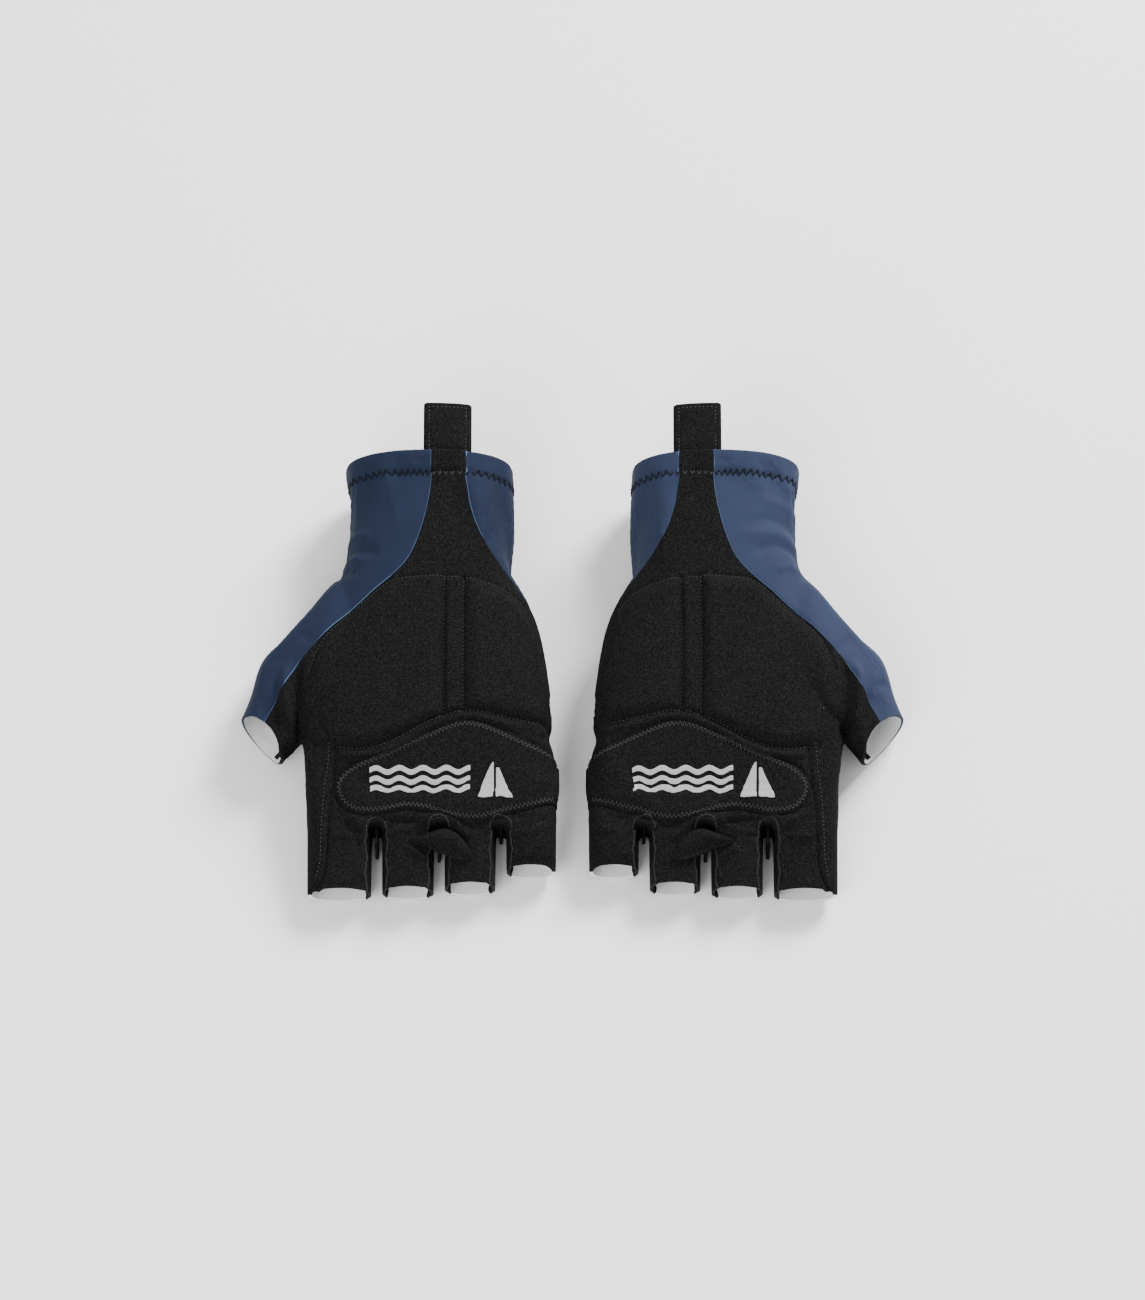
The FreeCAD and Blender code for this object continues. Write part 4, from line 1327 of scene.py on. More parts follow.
def evaluated(item: bpy.types.Object) -> tuple[Array, Array]:
    """Reads an object with its modifiers applied.

    Args:
        item: The object.

    Returns:
        Its points in millimetres and its triangles.
    """
    mesh = baked(item)
    points = np.empty(len(mesh.vertices) * 3)
    mesh.vertices.foreach_get("co", points)
    mesh.calc_loop_triangles()
    tris = np.empty(len(mesh.loop_triangles) * 3, np.int32)
    mesh.loop_triangles.foreach_get("vertices", tris)
    bpy.data.meshes.remove(mesh)
    return points.reshape(-1, 3) / MM, tris.reshape(-1, 3).astype(np.int64)


# ---------------------------------------------------------------------- fields for cuts


def palm_field(p: Array) -> Array:
    """Marks the palm panel, between the seams and above the side level.

    Args:
        p: Places.

    Returns:
        A field that is positive there.
    """
    radial = along(p, RADIAL_SEAM)[1]
    ulnar = -along(p, ULNAR_SEAM)[1]
    return least(radial, ulnar, p[:, 2] - PLAN.side)


def index_field(p: Array) -> Array:
    """Marks the index side panel, beyond the index seam.

    Args:
        p: Places.

    Returns:
        A field that is positive there.
    """
    edge = -along(p, INDEX_SEAM)[1]
    return least(edge, 57.6 - p[:, 1], p[:, 2] - PLAN.side)


def wander(y: Array, x: float) -> Array:
    """How far the seam round the slot at x strays, at each Y."""
    return 0.3 * np.sin(0.62 * y + x) + 0.15 * np.sin(1.7 * y - x)


def web_field(p: Array) -> Array:
    """Marks the webs and the walls of the slots between the stalls.

    Args:
        p: Places.

    Returns:
        A field that is positive within reach of a slot.
    """
    best = np.full(len(p), -99.0)
    for x, end in zip(PLAN.slots, SLOT_ENDS):
        path = np.array([(x, -10.0), (x, end - 0.4)])
        best = np.maximum(best, WEB_REACH + wander(p[:, 1], x) - along(p, path)[0])
    return best


def thumbward(start: Point2, end: Point2) -> tuple[Array, Array]:
    """Finds the directions of a line across the thumb stall.

    Args:
        start: Plan point on the stall's outer side.
        end: Plan point on its inner side.

    Returns:
        Unit vectors along the line, and square to it towards the thumb's end.
    """
    way = unit(np.array(end) - np.array(start))
    out = np.array([way[1], -way[0]])
    return way, (out if out[0] < 0 else -out)


def thumb_field(p: Array) -> Array:
    """Marks the thumb stall, beyond its base.

    Args:
        p: Places.

    Returns:
        A field that is positive there.
    """
    _, out = thumbward(SHOULDER, CROTCH)
    beyond = (p[:, :2] - np.array(SHOULDER)) @ out
    below = SHOULDER[1] + 0.4 - p[:, 1]
    above = p[:, 1] - CROTCH[1] + 0.6 + 90 * (p[:, 0] < -99.5)
    return least(beyond, below, above)


def thumb_opening(p: Array) -> Array:
    """Measures places against the thumb stall's open end, which is cut back on its palm side.

    Args:
        p: Places.

    Returns:
        Distance beyond the end.
    """
    outer, inner = np.array(THUMB_OUTER), np.array(THUMB_INNER)
    way, out = thumbward(THUMB_OUTER, THUMB_INNER)
    across = np.clip((p[:, :2] - outer) @ way / np.linalg.norm(inner - outer), 0, 1)
    bow = 3.4 * smooth(6.0, 22.0, p[:, 2]) * np.sin(math.pi * across)
    beyond = (p[:, :2] - outer) @ out + bow
    return np.where((p[:, 0] < -101.0) & (p[:, 1] < 78.0), beyond, -FAR)


def pad_field(p: Array, outline: Array) -> Array:
    """Marks the foam pad within an outline.

    Args:
        p: Places.
        outline: Outline of the swell over the pad.

    Returns:
        A field that is positive on the pad.
    """
    return least(inside(p, outline) - 2.2, p[:, 0] + 93.5, p[:, 2] - 15.0)


def tip_field(stall: Stall) -> Field:
    """Makes the field of a stall's open end, which is slightly bowed.

    Args:
        stall: The stall.

    Returns:
        Field of the distance beyond the end.
    """
    half = (stall.right - stall.left) / 2

    def beyond(p: Array) -> Array:
        """Measures places against the open end.

        Args:
            p: Places.

        Returns:
            Distance beyond the end.
        """
        across = np.clip((p[:, 0] - stall.middle) / half, -1, 1)
        bow = 0.7 * (1 - across ** 2) * smooth(4.0, 12.0, p[:, 2])
        return stall.tip + bow - p[:, 1]

    return beyond


def slab_field(axis: int, level: float, sign: float = 1.0) -> Field:
    """Field that is positive above a level of one axis, or below it with sign -1."""
    return lambda p: sign * (p[:, axis] - level)


# ------------------------------------------------------------------------------ threads


@cache
def stitch_tree() -> bpy.types.NodeTree:
    """Makes the geometry tree that sets stitches along a curve at an even pitch.

    Returns:
        The tree, with inputs Pitch, Length, Thread and Material.
    """
    given = {"Path": "Geometry", "Pitch": "Float", "Length": "Float", "Thread": "Float",
             "Material": "Material"}
    tree = new_tree("stitch row", "GeometryNodeTree", given, {"Stitches": "Geometry"})
    source = tree.nodes["given"].outputs
    path = {"Curve": source["Path"], "Length": source["Pitch"]}
    dots = add_node(tree, "GeometryNodeResampleCurve", path, mode="LENGTH")
    bead = add_node(tree, "GeometryNodeMeshUVSphere", {"Segments": 6, "Rings": 5, "Radius": 1.0})
    tangent = add_node(tree, "GeometryNodeInputTangent").outputs["Tangent"]
    align = add_node(tree, "FunctionNodeAlignRotationToVector", {"Vector": tangent}, axis="Z")
    half = add_node(tree, "ShaderNodeMath", {0: source["Length"], 1: 0.5}, operation="MULTIPLY")
    sizes = {"X": source["Thread"], "Y": source["Thread"], "Z": half.outputs[0]}
    scale = add_node(tree, "ShaderNodeCombineXYZ", sizes)
    place = add_node(tree, "GeometryNodeInstanceOnPoints", {
        "Points": dots.outputs["Curve"],
        "Instance": bead.outputs["Mesh"],
        "Rotation": align.outputs["Rotation"],
        "Scale": scale.outputs["Vector"],
    })
    finish_tree(tree, place.outputs["Instances"])
    return tree


@cache
def thread_tree() -> bpy.types.NodeTree:
    """Makes the geometry tree that runs a round thread along a curve.

    Returns:
        The tree, with inputs Thread and Material.
    """
    given = {"Path": "Geometry", "Thread": "Float", "Material": "Material"}
    tree = new_tree("running thread", "GeometryNodeTree", given, {"Stitches": "Geometry"})
    source = tree.nodes["given"].outputs
    size = {"Resolution": 5, "Radius": source["Thread"]}
    profile = add_node(tree, "GeometryNodeCurvePrimitiveCircle", size).outputs["Curve"]
    path = {"Curve": source["Path"], "Profile Curve": profile, "Fill Caps": True}
    sweep = add_node(tree, "GeometryNodeCurveToMesh", path)
    finish_tree(tree, sweep.outputs["Mesh"])
    return tree


def finish_tree(tree: bpy.types.NodeTree, mesh: bpy.types.NodeSocket) -> None:
    """Ends a geometry tree with real geometry, smooth shading and its material.

    Args:
        tree: The tree.
        mesh: Output that gives the stitches.
    """
    real = add_node(tree, "GeometryNodeRealizeInstances", {"Geometry": mesh})
    shade = add_node(tree, "GeometryNodeSetShadeSmooth", {"Geometry": real.outputs["Geometry"]})
    material = tree.nodes["given"].outputs["Material"]
    cover = add_node(tree, "GeometryNodeSetMaterial",
                     {"Geometry": shade.outputs["Geometry"], "Material": material})
    tree.links.new(cover.outputs["Geometry"], tree.nodes["made"].inputs["Stitches"])


@dataclass(frozen=True)
class Row:
    """A row of sewing.

    Attributes:
        path: Places along the row, shape (n, 3), in plan millimetres.
        finish: The thread's finish.
        pitch: From one stitch to the next, or zero for one running thread.
        length: Length of a stitch.
        thread: Radius of the thread.
    """

    path: Array
    finish: Finish
    pitch: float = 1.45
    length: float = 1.0
    thread: float = 0.17


def sew(name: str, rows: Sequence[Row], hand: Hand) -> bpy.types.Object:
    """Makes the threads of several rows as one piece.

    Args:
        name: The piece's name.
        rows: Rows of sewing on one body.
        hand: Which glove they are on.

    Returns:
        The piece as a plain mesh.
    """
    made = []
    for row in rows:
        data = bpy.data.curves.new(name, "CURVE")
        data.dimensions = "3D"
        spline = data.splines.new("POLY")
        places = PLAN.metres(row.path, hand)
        spline.points.add(len(places) - 1)
        spline.points.foreach_set("co", np.column_stack([places, np.ones(len(places))]).ravel())
        item = add_object(name, data)
        modifier = item.modifiers.new("sewing", "NODES")
        modifier.node_group = stitch_tree() if row.pitch else thread_tree()
        values = {"Thread": row.thread * MM, "Material": row.finish.build()}
        if row.pitch:
            values |= {"Pitch": row.pitch * MM, "Length": row.length * MM}
        for socket in modifier.node_group.interface.items_tree:
            if socket.in_out == "INPUT" and socket.name in values:
                modifier[socket.identifier] = values[socket.name]
        made.append(baked(item))
        bpy.data.objects.remove(item)
        bpy.data.curves.remove(data)
    return join_meshes(name, made)


def join_meshes(name: str, meshes: Sequence[bpy.types.Mesh]) -> bpy.types.Object:
    """Joins meshes, each of one finish, into one object at the origin.

    Args:
        name: The object's name.
        meshes: The meshes, which are used up.

    Returns:
        The object.
    """
    points, faces, slots, finishes = [], [], [], []
    total = 0
    for mesh in meshes:
        finish = next(material for material in mesh.materials if material)
        if finish not in finishes:
            finishes.append(finish)
        places = np.empty(len(mesh.vertices) * 3)
        mesh.vertices.foreach_get("co", places)
        points.append(places.reshape(-1, 3))
        faces += [[total + k for k in polygon.vertices] for polygon in mesh.polygons]
        slots += [finishes.index(finish)] * len(mesh.polygons)
        total += len(mesh.vertices)
        bpy.data.meshes.remove(mesh)
    item = make_object(name, np.vstack(points), faces)
    dress(item.data, finishes, slots)
    LOG.info("%s: %d faces", name, len(faces))
    return item


# ---------------------------------------------------------------------------- the glove


@dataclass
class Glove:
    """One glove: its panels, pads, tab, print and sewing.

    Attributes:
        hand: Which glove it is.
        lap: How far the suede stands above the cloth beside it.
        cloth_depth: Thickness of the cloth.
        blue: Finish of its stretch cloth; the left-hand glove's is a lighter copy of the same blue, which is
            painted light.
        sheets: Outsides of the finished panels, which the sewing lies on.
        web_rims: The skin round the slots' ends.
        surface: The outsides as one surface.
    """

    hand: Hand
    lap: float = 0.35
    cloth_depth: float = 1.0
    blue: Finish = field(init=False)
    sheets: list[tuple[Array, Array]] = field(default_factory=list)
    web_rims: Cloth = field(init=False)
    surface: BVHTree = field(init=False)

    def build(self) -> None:
        """Makes every piece of the glove and gives each piece without a bend its body."""
        # The left-hand glove takes the lighter copy of the blue, which is painted light.
        self.blue = BLUE_RIGHT if self.hand is Hand.RIGHT else BLUE_LEFT_PAINTED_LIGHT
        cloth = self.open_ends(Skin(self.hand).cloth)
        thumb, cloth = cloth.split(thumb_field)
        stalls, palm = cloth.split(slab_field(1, PLAN.crease, -1.0))
        self.cut_hand(palm)
        for stall in PLAN.stalls:
            middle = stalls.points[stalls.tris].mean(axis=1)[:, 0]
            self.cut_stall(stall, stalls.pick(stall.beside(middle)))
        self.cut_thumb(thumb)
        self.make_webs()
        self.make_tab()
        self.sew_hand()

    def keep(self, node: str, item: bpy.types.Object, body: str = "glove",
             bend: Bend | None = None, replaces: Sequence[str] | None = None) -> None:
        """Gives a finished piece without a bend its body, and hides the nodes that it stands for.

        Args:
            node: The node's name without the hand.
            item: The piece.
            body: Body's name without the hand.
            bend: Plan points where the piece would start and end turning with that body,
            though nothing turns it, or None where it is rigid.
            replaces: Nodes it stands for, if not the one of its name.
        """
        word = self.hand.word
        if bend is None:
            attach(item, f"{word}_{body}")
        else:
            start, end = (PLAN.metres(np.array(p, float), self.hand) for p in bend)
            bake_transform(item)
        for name in ([node] if replaces is None else replaces):
            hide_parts(f"{word}_{name}")

    def piece(self, node: str, panels: Sequence[Panel], body: str = "glove",
              bend: Bend | None = None) -> bpy.types.Object:
        """Makes a piece named after its node, and adds its outside to the sewing's surface.

        Args:
            node: The node's name without the hand.
            panels: Panels that the piece is made of.
            body: Body's name without the hand.
            bend: Where the piece would start and end turning with that body, or None; nothing turns it.

        Returns:
            The piece.
        """
        for panel in (panel for panel in panels if panel.sewn):
            lift = np.broadcast_to(np.asarray(panel.lift, float), (len(panel.cloth.points),))
            self.sheets.append((panel.cloth.points + panel.cloth.normals * lift[:, None], panel.cloth.tris))
        item = make_piece(f"{self.hand.word}_{node}_cloth", panels, self.hand)
        self.keep(node, item, body, bend)
        return item

    def sewing(self, node: str, rows: Sequence[Row], slot: str, body: str = "glove",
               bend: Bend | None = None) -> None:
        """Makes the threads of several rows as a piece that stands for no node.

        Args:
            node: The piece's name without the hand.
            rows: Rows of sewing.
            slot: Material slot of the record; it is not used.
            body: Body's name without the hand.
            bend: Where the threads would start and end turning with that body, or None; nothing turns them.
        """
        self.keep(node, sew(f"{self.hand.word}_{node}", rows, self.hand), body, bend, [])

    def open_ends(self, cloth: Cloth) -> Cloth:
        """Cuts the skin open at the cuff, the finger stalls and the thumb stall.

        Args:
            cloth: The closed skin.

        Returns:
            The open skin.
        """
        cloth = cloth.split(slab_field(1, PLAN.rim, -1.0))[0]
        cloth = cloth.split(thumb_opening)[1]
        for stall in PLAN.stalls:
            beyond = tip_field(stall)

            def rule(p: Array, beyond: Field = beyond, stall: Stall = stall) -> Array:
                """The end's field near this stall, and far behind it elsewhere."""
                return np.where(stall.beside(p[:, 0]) & (p[:, 1] < 13.0), beyond(p), -FAR)

            cloth = cloth.split(rule)[1]
        return cloth

    def suede(self, cloth: Cloth, **changes: object) -> Panel:
        """A panel of suede, lapped over its neighbours."""
        values = {"lift": self.lap, "depth": self.cloth_depth + self.lap} | changes
        return Panel(cloth, SUEDE, SUEDE_BACK, SUEDE, **values)

    def stretch(self, cloth: Cloth, seam: Field | None = None, **changes: object) -> Panel:
        """A panel of blue stretch cloth with its white reverse."""
        values = {"depth": self.cloth_depth, "seam": seam, "edge": self.blue} | changes
        return Panel(cloth, self.blue, WHITE, **values)

    def knit(self, cloth: Cloth, seam: Field | None = None, **changes: object) -> Panel:
        """A panel of black knit, as the walls between the fingers are."""
        lift = 0.1 - 0.8 * smooth(0.2, 1.2, web_field(cloth.points))
        return Panel(cloth, KNIT, KNIT, KNIT, lift, self.cloth_depth, seam=seam, **changes)

    def side_panel(self, cloth: Cloth, rim: Rim) -> Panel:
        """A panel of suede that laps over the palm, as beside the index finger."""
        return self.suede(cloth, lift=self.lap + 0.35, depth=self.cloth_depth + 0.7, rim=rim)

    def cut_hand(self, cloth: Cloth) -> None:
        """Cuts the panels of the hand and makes its pads, patch and print.

        Args:
            cloth: The skin between the stalls and the cuff's rim.
        """
        hem, cloth = cloth.split(slab_field(1, PLAN.hem))
        neck, band = hem.split(lambda p: palm_field(p) - 0.5)
        hem_depth = self.cloth_depth + 0.9
        panels = [
            Panel(band, self.blue, self.blue, self.blue, 0.0, hem_depth, seam=lambda p: palm_field(p) + 0.6),
            Panel(neck, SUEDE, self.blue, SUEDE, self.lap, hem_depth + self.lap),
        ]
        self.piece("cuff_hem", panels)
        self.web_rims, cloth = cloth.split(web_field)
        side, cloth = cloth.split(index_field)
        self.piece("index_side_panel", [self.side_panel(side, Rim.ROUND)])
        palm, back = cloth.split(palm_field)
        self.piece("palm_panel", [self.suede(palm, rim=Rim.FLAT)])
        self.piece("back_panel", [self.stretch(back, palm_field)])
        for name, outline in (("thenar_pad", THENAR), ("hypothenar_pad", HYPOTHENAR)):
            pad = palm.split(partial(pad_field, outline=outline))[0]
            swell = smooth(-0.2, 4.0, pad_field(pad.points, outline))
            panel = plain(pad, FOAM, -self.cloth_depth - 0.05, 0.7 + 2.3 * swell)
            item = self.piece(name, [panel])
        self.make_patch(palm)

    def patch_field(self, p: Array) -> Array:
        """Positive inside the knuckle patch."""
        return np.minimum(inside(p, PATCH), p[:, 2] - 9.0)

    def patch_height(self, p: Array) -> Array:
        """Finds the patch's height: it is puffed, and sewn down near its edge.

        Args:
            p: Places on the skin.

        Returns:
            Height of the patch's outside above each.
        """
        depth = self.patch_field(p)
        sewn = bump(0.55, depth - 1.1, 0.7)
        return self.lap + 0.5 + 1.0 * smooth(0.0, 5.0, depth) - sewn * smooth(0.2, 0.8, depth)

    def make_patch(self, palm: Cloth) -> None:
        """Makes the padded patch over the knuckles and its print.

        Args:
            palm: The skin under the palm panel.
        """
        patch = palm.split(self.patch_field)[0].refine()
        height = self.patch_height(patch.points)
        panel = plain(patch, SUEDE, height, height - self.lap + 0.25)
        item = self.piece("knuckle_pad", [panel])
        near = patch.points[patch.tris].mean(axis=1)
        middle, start, end, extent = PRINT
        window = (near[:, 0] > start - 2) & (near[:, 0] < end + 2) & (np.abs(near[:, 1] - middle) < extent)
        fine = patch.pick(window).refine()
        ink = fine.split(partial(print_field, hand=self.hand))[0]
        high = self.patch_height(ink.points)
        panel = plain(ink, SILICONE, high + 0.32, 0.42)
        self.piece("grip_print", [panel])

    def cut_stall(self, stall: Stall, cloth: Cloth) -> None:
        """Cuts one finger stall into its strips, walls and edge.

        Args:
            stall: The stall.
            cloth: Its skin.
        """
        body = f"{stall.name}_finger"
        tip = tip_field(stall)
        edge, cloth = cloth.split(lambda p: tip(p) + EDGE_LENGTH)
        turned = self.stall_panels(stall, edge, WHITE)
        strips = self.stall_panels(stall, cloth, self.blue)
        flat = [panel for panels in turned.values() for panel in panels]
        self.piece(f"{stall.name}_binding", flat, body, stall.bend)
        slots = {"palm_strip": "suede", "back_strip": "stretch_blue", "side_walls": "knit_black"}
        for node, slot in slots.items():
            self.piece(f"{stall.name}_{node}", strips[node], body, stall.bend)

    def stall_panels(self, stall: Stall, cloth: Cloth, edge: Finish) -> dict[str, list[Panel]]:
        """Cuts a stretch of a stall into suede, knit and stretch panels.

        Args:
            stall: The stall.
            cloth: A stretch of its skin.
            edge: Finish of the stretch cloth's cut edge.

        Returns:
            Panels by the node that they belong to.
        """
        wall, cloth = cloth.split(web_field)
        outside = []
        if stall is PLAN.stalls[0]:
            side, cloth = cloth.split(index_field)
            outside = [self.side_panel(side, Rim.FLAT)]
        upper = slab_field(2, PLAN.side)
        palm, back = cloth.split(upper)

        def seam(p: Array) -> Array:
            """Distance from the nearer of the two seams."""
            return np.minimum(np.abs(web_field(p)), np.abs(upper(p)))

        folded = [flap_half(stall.name)] if stall.name in FLAP_SIDES and edge is not WHITE else []
        return {
            "palm_strip": [self.suede(palm, rim=Rim.FLAT)] + folded,
            "back_strip": [self.stretch(back, seam, rim=Rim.FLAT, edge=edge)],
            "side_walls": [self.knit(wall, web_field, rim=Rim.FLAT)] + outside,
        }

    def cut_thumb(self, cloth: Cloth) -> None:
        """Cuts the thumb stall into its two panels and its edge.

        Args:
            cloth: Its skin.
        """
        base = (np.array(SHOULDER) + np.array(CROTCH)) / 2
        _, out = thumbward(SHOULDER, CROTCH)
        bend = ((*base, 15.0), (*(base + 15.0 * out), 15.0))
        edge, cloth = cloth.split(lambda p: thumb_opening(p) + THUMB_EDGE)
        palm_edge, back_edge = edge.split(palm_field)
        panels = [self.suede(palm_edge, rim=Rim.FLAT), self.stretch(back_edge, palm_field, rim=Rim.FLAT)]
        self.piece("thumb_binding", panels, "thumb", bend)
        palm, back = cloth.split(palm_field)
        line = np.array([CROTCH, THUMB_INNER])

        def strip(p: Array) -> Array:
            """Positive on the sewn allowance, low inside the stall and beside its inner line."""
            return np.minimum(0.75 - np.abs(along(p, line)[0] - 4.4), 6.0 - p[:, 2])

        allowance = back.split(strip)[0]
        seam = plain(allowance, KNIT, -self.cloth_depth - 0.05, 0.7, sewn=False)
        self.piece("thumb_palm_panel", [self.suede(palm, rim=Rim.FLAT), seam], "thumb", bend)
        panels = [self.stretch(back, palm_field, rim=Rim.FLAT)]
        self.piece("thumb_back_panel", panels, "thumb", bend)

    def make_webs(self) -> None:
        """Makes the webs between the stalls, with the arched rims of the slots."""
        panels = [self.knit(self.web_rims, web_field)]
        gap = min(b.left - a.right for a, b in zip(PLAN.stalls, PLAN.stalls[1:]))
        for x, front, end in zip(PLAN.slots, WEB_FRONTS, SLOT_ENDS):
            panels.append(plain(web_saddle(x, front, end + 2.6, gap), KNIT, 0.0, 0.7))
        self.piece("fourchette_webs", panels)

    def tab_height(self, x: Array) -> Array:
        """Finds the tab's height, close under the hem all across.

        Args:
            x: Places across the tab.

        Returns:
            Height of the tab's middle layer there.
        """
        half = (CUFF_RIGHT - CUFF_LEFT) / 2
        middle = (CUFF_LEFT + CUFF_RIGHT) / 2
        share = np.clip(np.abs(x - middle) / half, 0, 0.95)
        top = PLAN.top / 2 * (1 + (1 - share ** CUFF_POWER) ** (1 / CUFF_POWER))
        return top - self.cloth_depth - 0.9 - 1.35

    def make_tab(self) -> None:
        """Makes the pull tab and its sewn root."""
        begin, fold = PLAN.hem + 0.4, PLAN.rim - TAB_FOLD
        root = tab_cloth(PLAN.tab_left, PLAN.tab_right, begin, fold, self.tab_height, square=True)
        free = tab_cloth(PLAN.tab_left, PLAN.tab_right, fold, PLAN.tab_end, self.tab_height, square=False)
        root, free = ([plain(cloth, SUEDE, 0.0, 0.6) for cloth in layers] for layers in (root, free))
        middle = (PLAN.tab_left + PLAN.tab_right) / 2
        bend = ((middle, fold, 38.0), (middle, PLAN.rim + 3.4, 38.0))
        self.piece("pull_tab_root", root)
        self.piece("pull_tab", free, "pull_tab", bend)
        inset, top = 2.0, PLAN.tab_end - 1.9
        left, right = PLAN.tab_left + inset, PLAN.tab_right - inset
        plan = np.array([(left, PLAN.rim + 0.6), (left, top), (right, top), (right, PLAN.rim + 0.6)])
        path = even(plan, 0.7)
        heights = self.tab_height(path[:, 0]) + 1.02
        row = Row(np.column_stack([path, heights]), GREY_THREAD, 1.5, 0.9, 0.17)
        self.sewing("tab_stitches", [row], "tab_suede", "pull_tab", bend)

    # -- sewing on the hand

    def over(self, path: Array, height: float = 0.06) -> Array:
        """Lays a plan path on the panels from above.

        Args:
            path: Plan path, shape (n, 2).
            height: Height of the thread's middle above the cloth.

        Returns:
            Places, shape (m, 3), without those that miss the glove.
        """
        places = []
        for x, y in path:
            hit, normal, _, _ = self.surface.ray_cast(Vector((x, y, ABOVE)), Vector((0, 0, -1)))
            if hit is not None:
                places.append(np.array(hit) + height * np.array(normal))
        return np.array(places)

    def zigzag(self, path: Array, pitch: float, swing: float) -> Array:
        """Draws a zigzag in the plan that follows a plan path.

        Args:
            path: The path.
            pitch: Length of one wave.
            swing: Width from side to side.

        Returns:
            Evenly set plan points.
        """
        base = even(path, pitch / 2)
        sign = np.where(np.arange(len(base)) % 2 == 0, 1.0, -1.0)[:, None]
        corners = base + leftward(base) * sign * swing / 2
        return even(corners, 0.45)

    def round_cuff(self, waves: int, steps: int, swing: float) -> Array:
        """Lays a zigzag round the hem.

        Args:
            waves: Number of waves.
            steps: Places in one wave.
            swing: How far it goes to each side of the hem's line.

        Returns:
            Places on the cuff's outside.
        """
        count = waves * steps
        middle = (CUFF_LEFT + CUFF_RIGHT) / 2
        places = []
        for k in range(count + 1):
            turn = 2 * math.pi * k / count
            level = PLAN.hem + swing * (4 * abs((k / steps) % 1 - 0.5) - 1)
            way = Vector((math.cos(turn), 0.0, math.sin(turn)))
            start = Vector((middle, level, PLAN.top / 2))
            hit, normal, _, _ = self.surface.ray_cast(start, way)
            if hit is not None:
                places.append(np.array(hit) + np.array(normal) * 0.12)
        return np.array(places)

    def sew_hand(self) -> None:
        """Sews the rows of the hand, the patch, the index side and the cuff."""
        starts = np.cumsum([0] + [len(points) for points, _ in self.sheets[:-1]])
        tris = np.vstack([tris + start for (_, tris), start in zip(self.sheets, starts)])
        self.surface = BVHTree.FromPolygons(np.vstack([p for p, _ in self.sheets]).tolist(), tris.tolist())
        rows = [Row(self.over(path), DARK_THREAD, thread=0.2) for path in CHANNELS]
        rows += [Row(self.over(path), DARK_THREAD) for path in (PAD_TOP, PAD_ARC)]
        rows.append(Row(self.over(PAD_FOOT), GREY_THREAD, 1.5, 0.95, 0.16))
        beside = offset(INDEX_SEAM, -2.3)
        hand_part = beside[(beside[:, 1] < 53.0) & (beside[:, 1] > PLAN.crease)]
        rows.append(Row(self.over(hand_part), GREY_THREAD, 1.5, 0.8, 0.13))
        zigzag = self.zigzag(self.inset(PATCH, 0.9), pitch=1.55, swing=1.5)
        rows.append(Row(self.over(zigzag), GREY_THREAD, 0.0, thread=0.12))
        self.sewing("palm_stitches", rows, "suede")
        ring = self.round_cuff(waves=58, steps=8, swing=1.15)
        on_neck = palm_field(ring) > 0
        breaks = np.flatnonzero(np.diff(on_neck)) + 1
        rows = [Row(run, GREY_THREAD if neck[0] else THREAD, 0.0, thread=0.13 if neck[0] else 0.24)
                for run, neck in zip(np.split(ring, breaks), np.split(on_neck, breaks)) if len(run) > 1]
        self.sewing("cuff_stitches", rows, "stretch_blue")
        finger_part = beside[(beside[:, 1] < PLAN.crease) & (beside[:, 1] > 5.0)]
        row = Row(self.over(finger_part), GREY_THREAD, 1.5, 0.8, 0.13)
        self.sewing("index_stitches", [row], "suede", "index_finger", PLAN.stalls[0].bend)
        self.sew_slots()

    def slot_seam(self, number: int, side: float) -> Array:
        """Plan path of the seam on one side of a slot.

        Args:
            number: Which slot, from the index stall.
            side: -1 for the side of the slot towards the thumb, else 1.

        Returns:
            Path from the stalls' open end to the middle of the slot's arch.
        """
        x, end = PLAN.slots[number], SLOT_ENDS[number] - 0.4
        stall = PLAN.stalls[number + (side > 0)]
        rise = np.arange(stall.tip + 0.4, end, 0.5)
        stray = wander(rise, x)
        leg = np.column_stack([x + side * (WEB_REACH + stray), rise])
        turn = np.linspace(0.0, math.pi / 2, 12)
        reach = WEB_REACH + stray[-1] * np.cos(turn)
        arch = np.column_stack([x + side * reach * np.cos(turn), end + reach * np.sin(turn)])
        return np.vstack([leg, arch])

    def sew_slots(self) -> None:
        """Makes the rolled seams round the slots, on the hand and on each stall."""
        arches, legs = [], {stall.name: [] for stall in PLAN.stalls}
        for number in range(len(PLAN.slots)):
            for side in (-1.0, 1.0):
                path = self.slot_seam(number, side)
                leg = path[path[:, 1] < PLAN.crease]
                arches.append(Row(self.over(path[path[:, 1] >= PLAN.crease]), SEAM, 0.0, thread=0.3))
                stall = PLAN.stalls[number + (side > 0)]
                legs[stall.name].append(Row(self.over(leg), SEAM, 0.0, thread=0.3))
        self.sewing("slot_seams", arches, "suede")
        for stall in PLAN.stalls:
            name = f"{stall.name}_seams"
            self.sewing(name, legs[stall.name], "suede", f"{stall.name}_finger", stall.bend)

    def inset(self, outline: Array, distance: float) -> Array:
        """An outline drawn in, without its stretch beyond the glove's side."""
        moved = offset(outline, distance)
        return moved[moved[:, 0] < PLAN.right - 1.2]


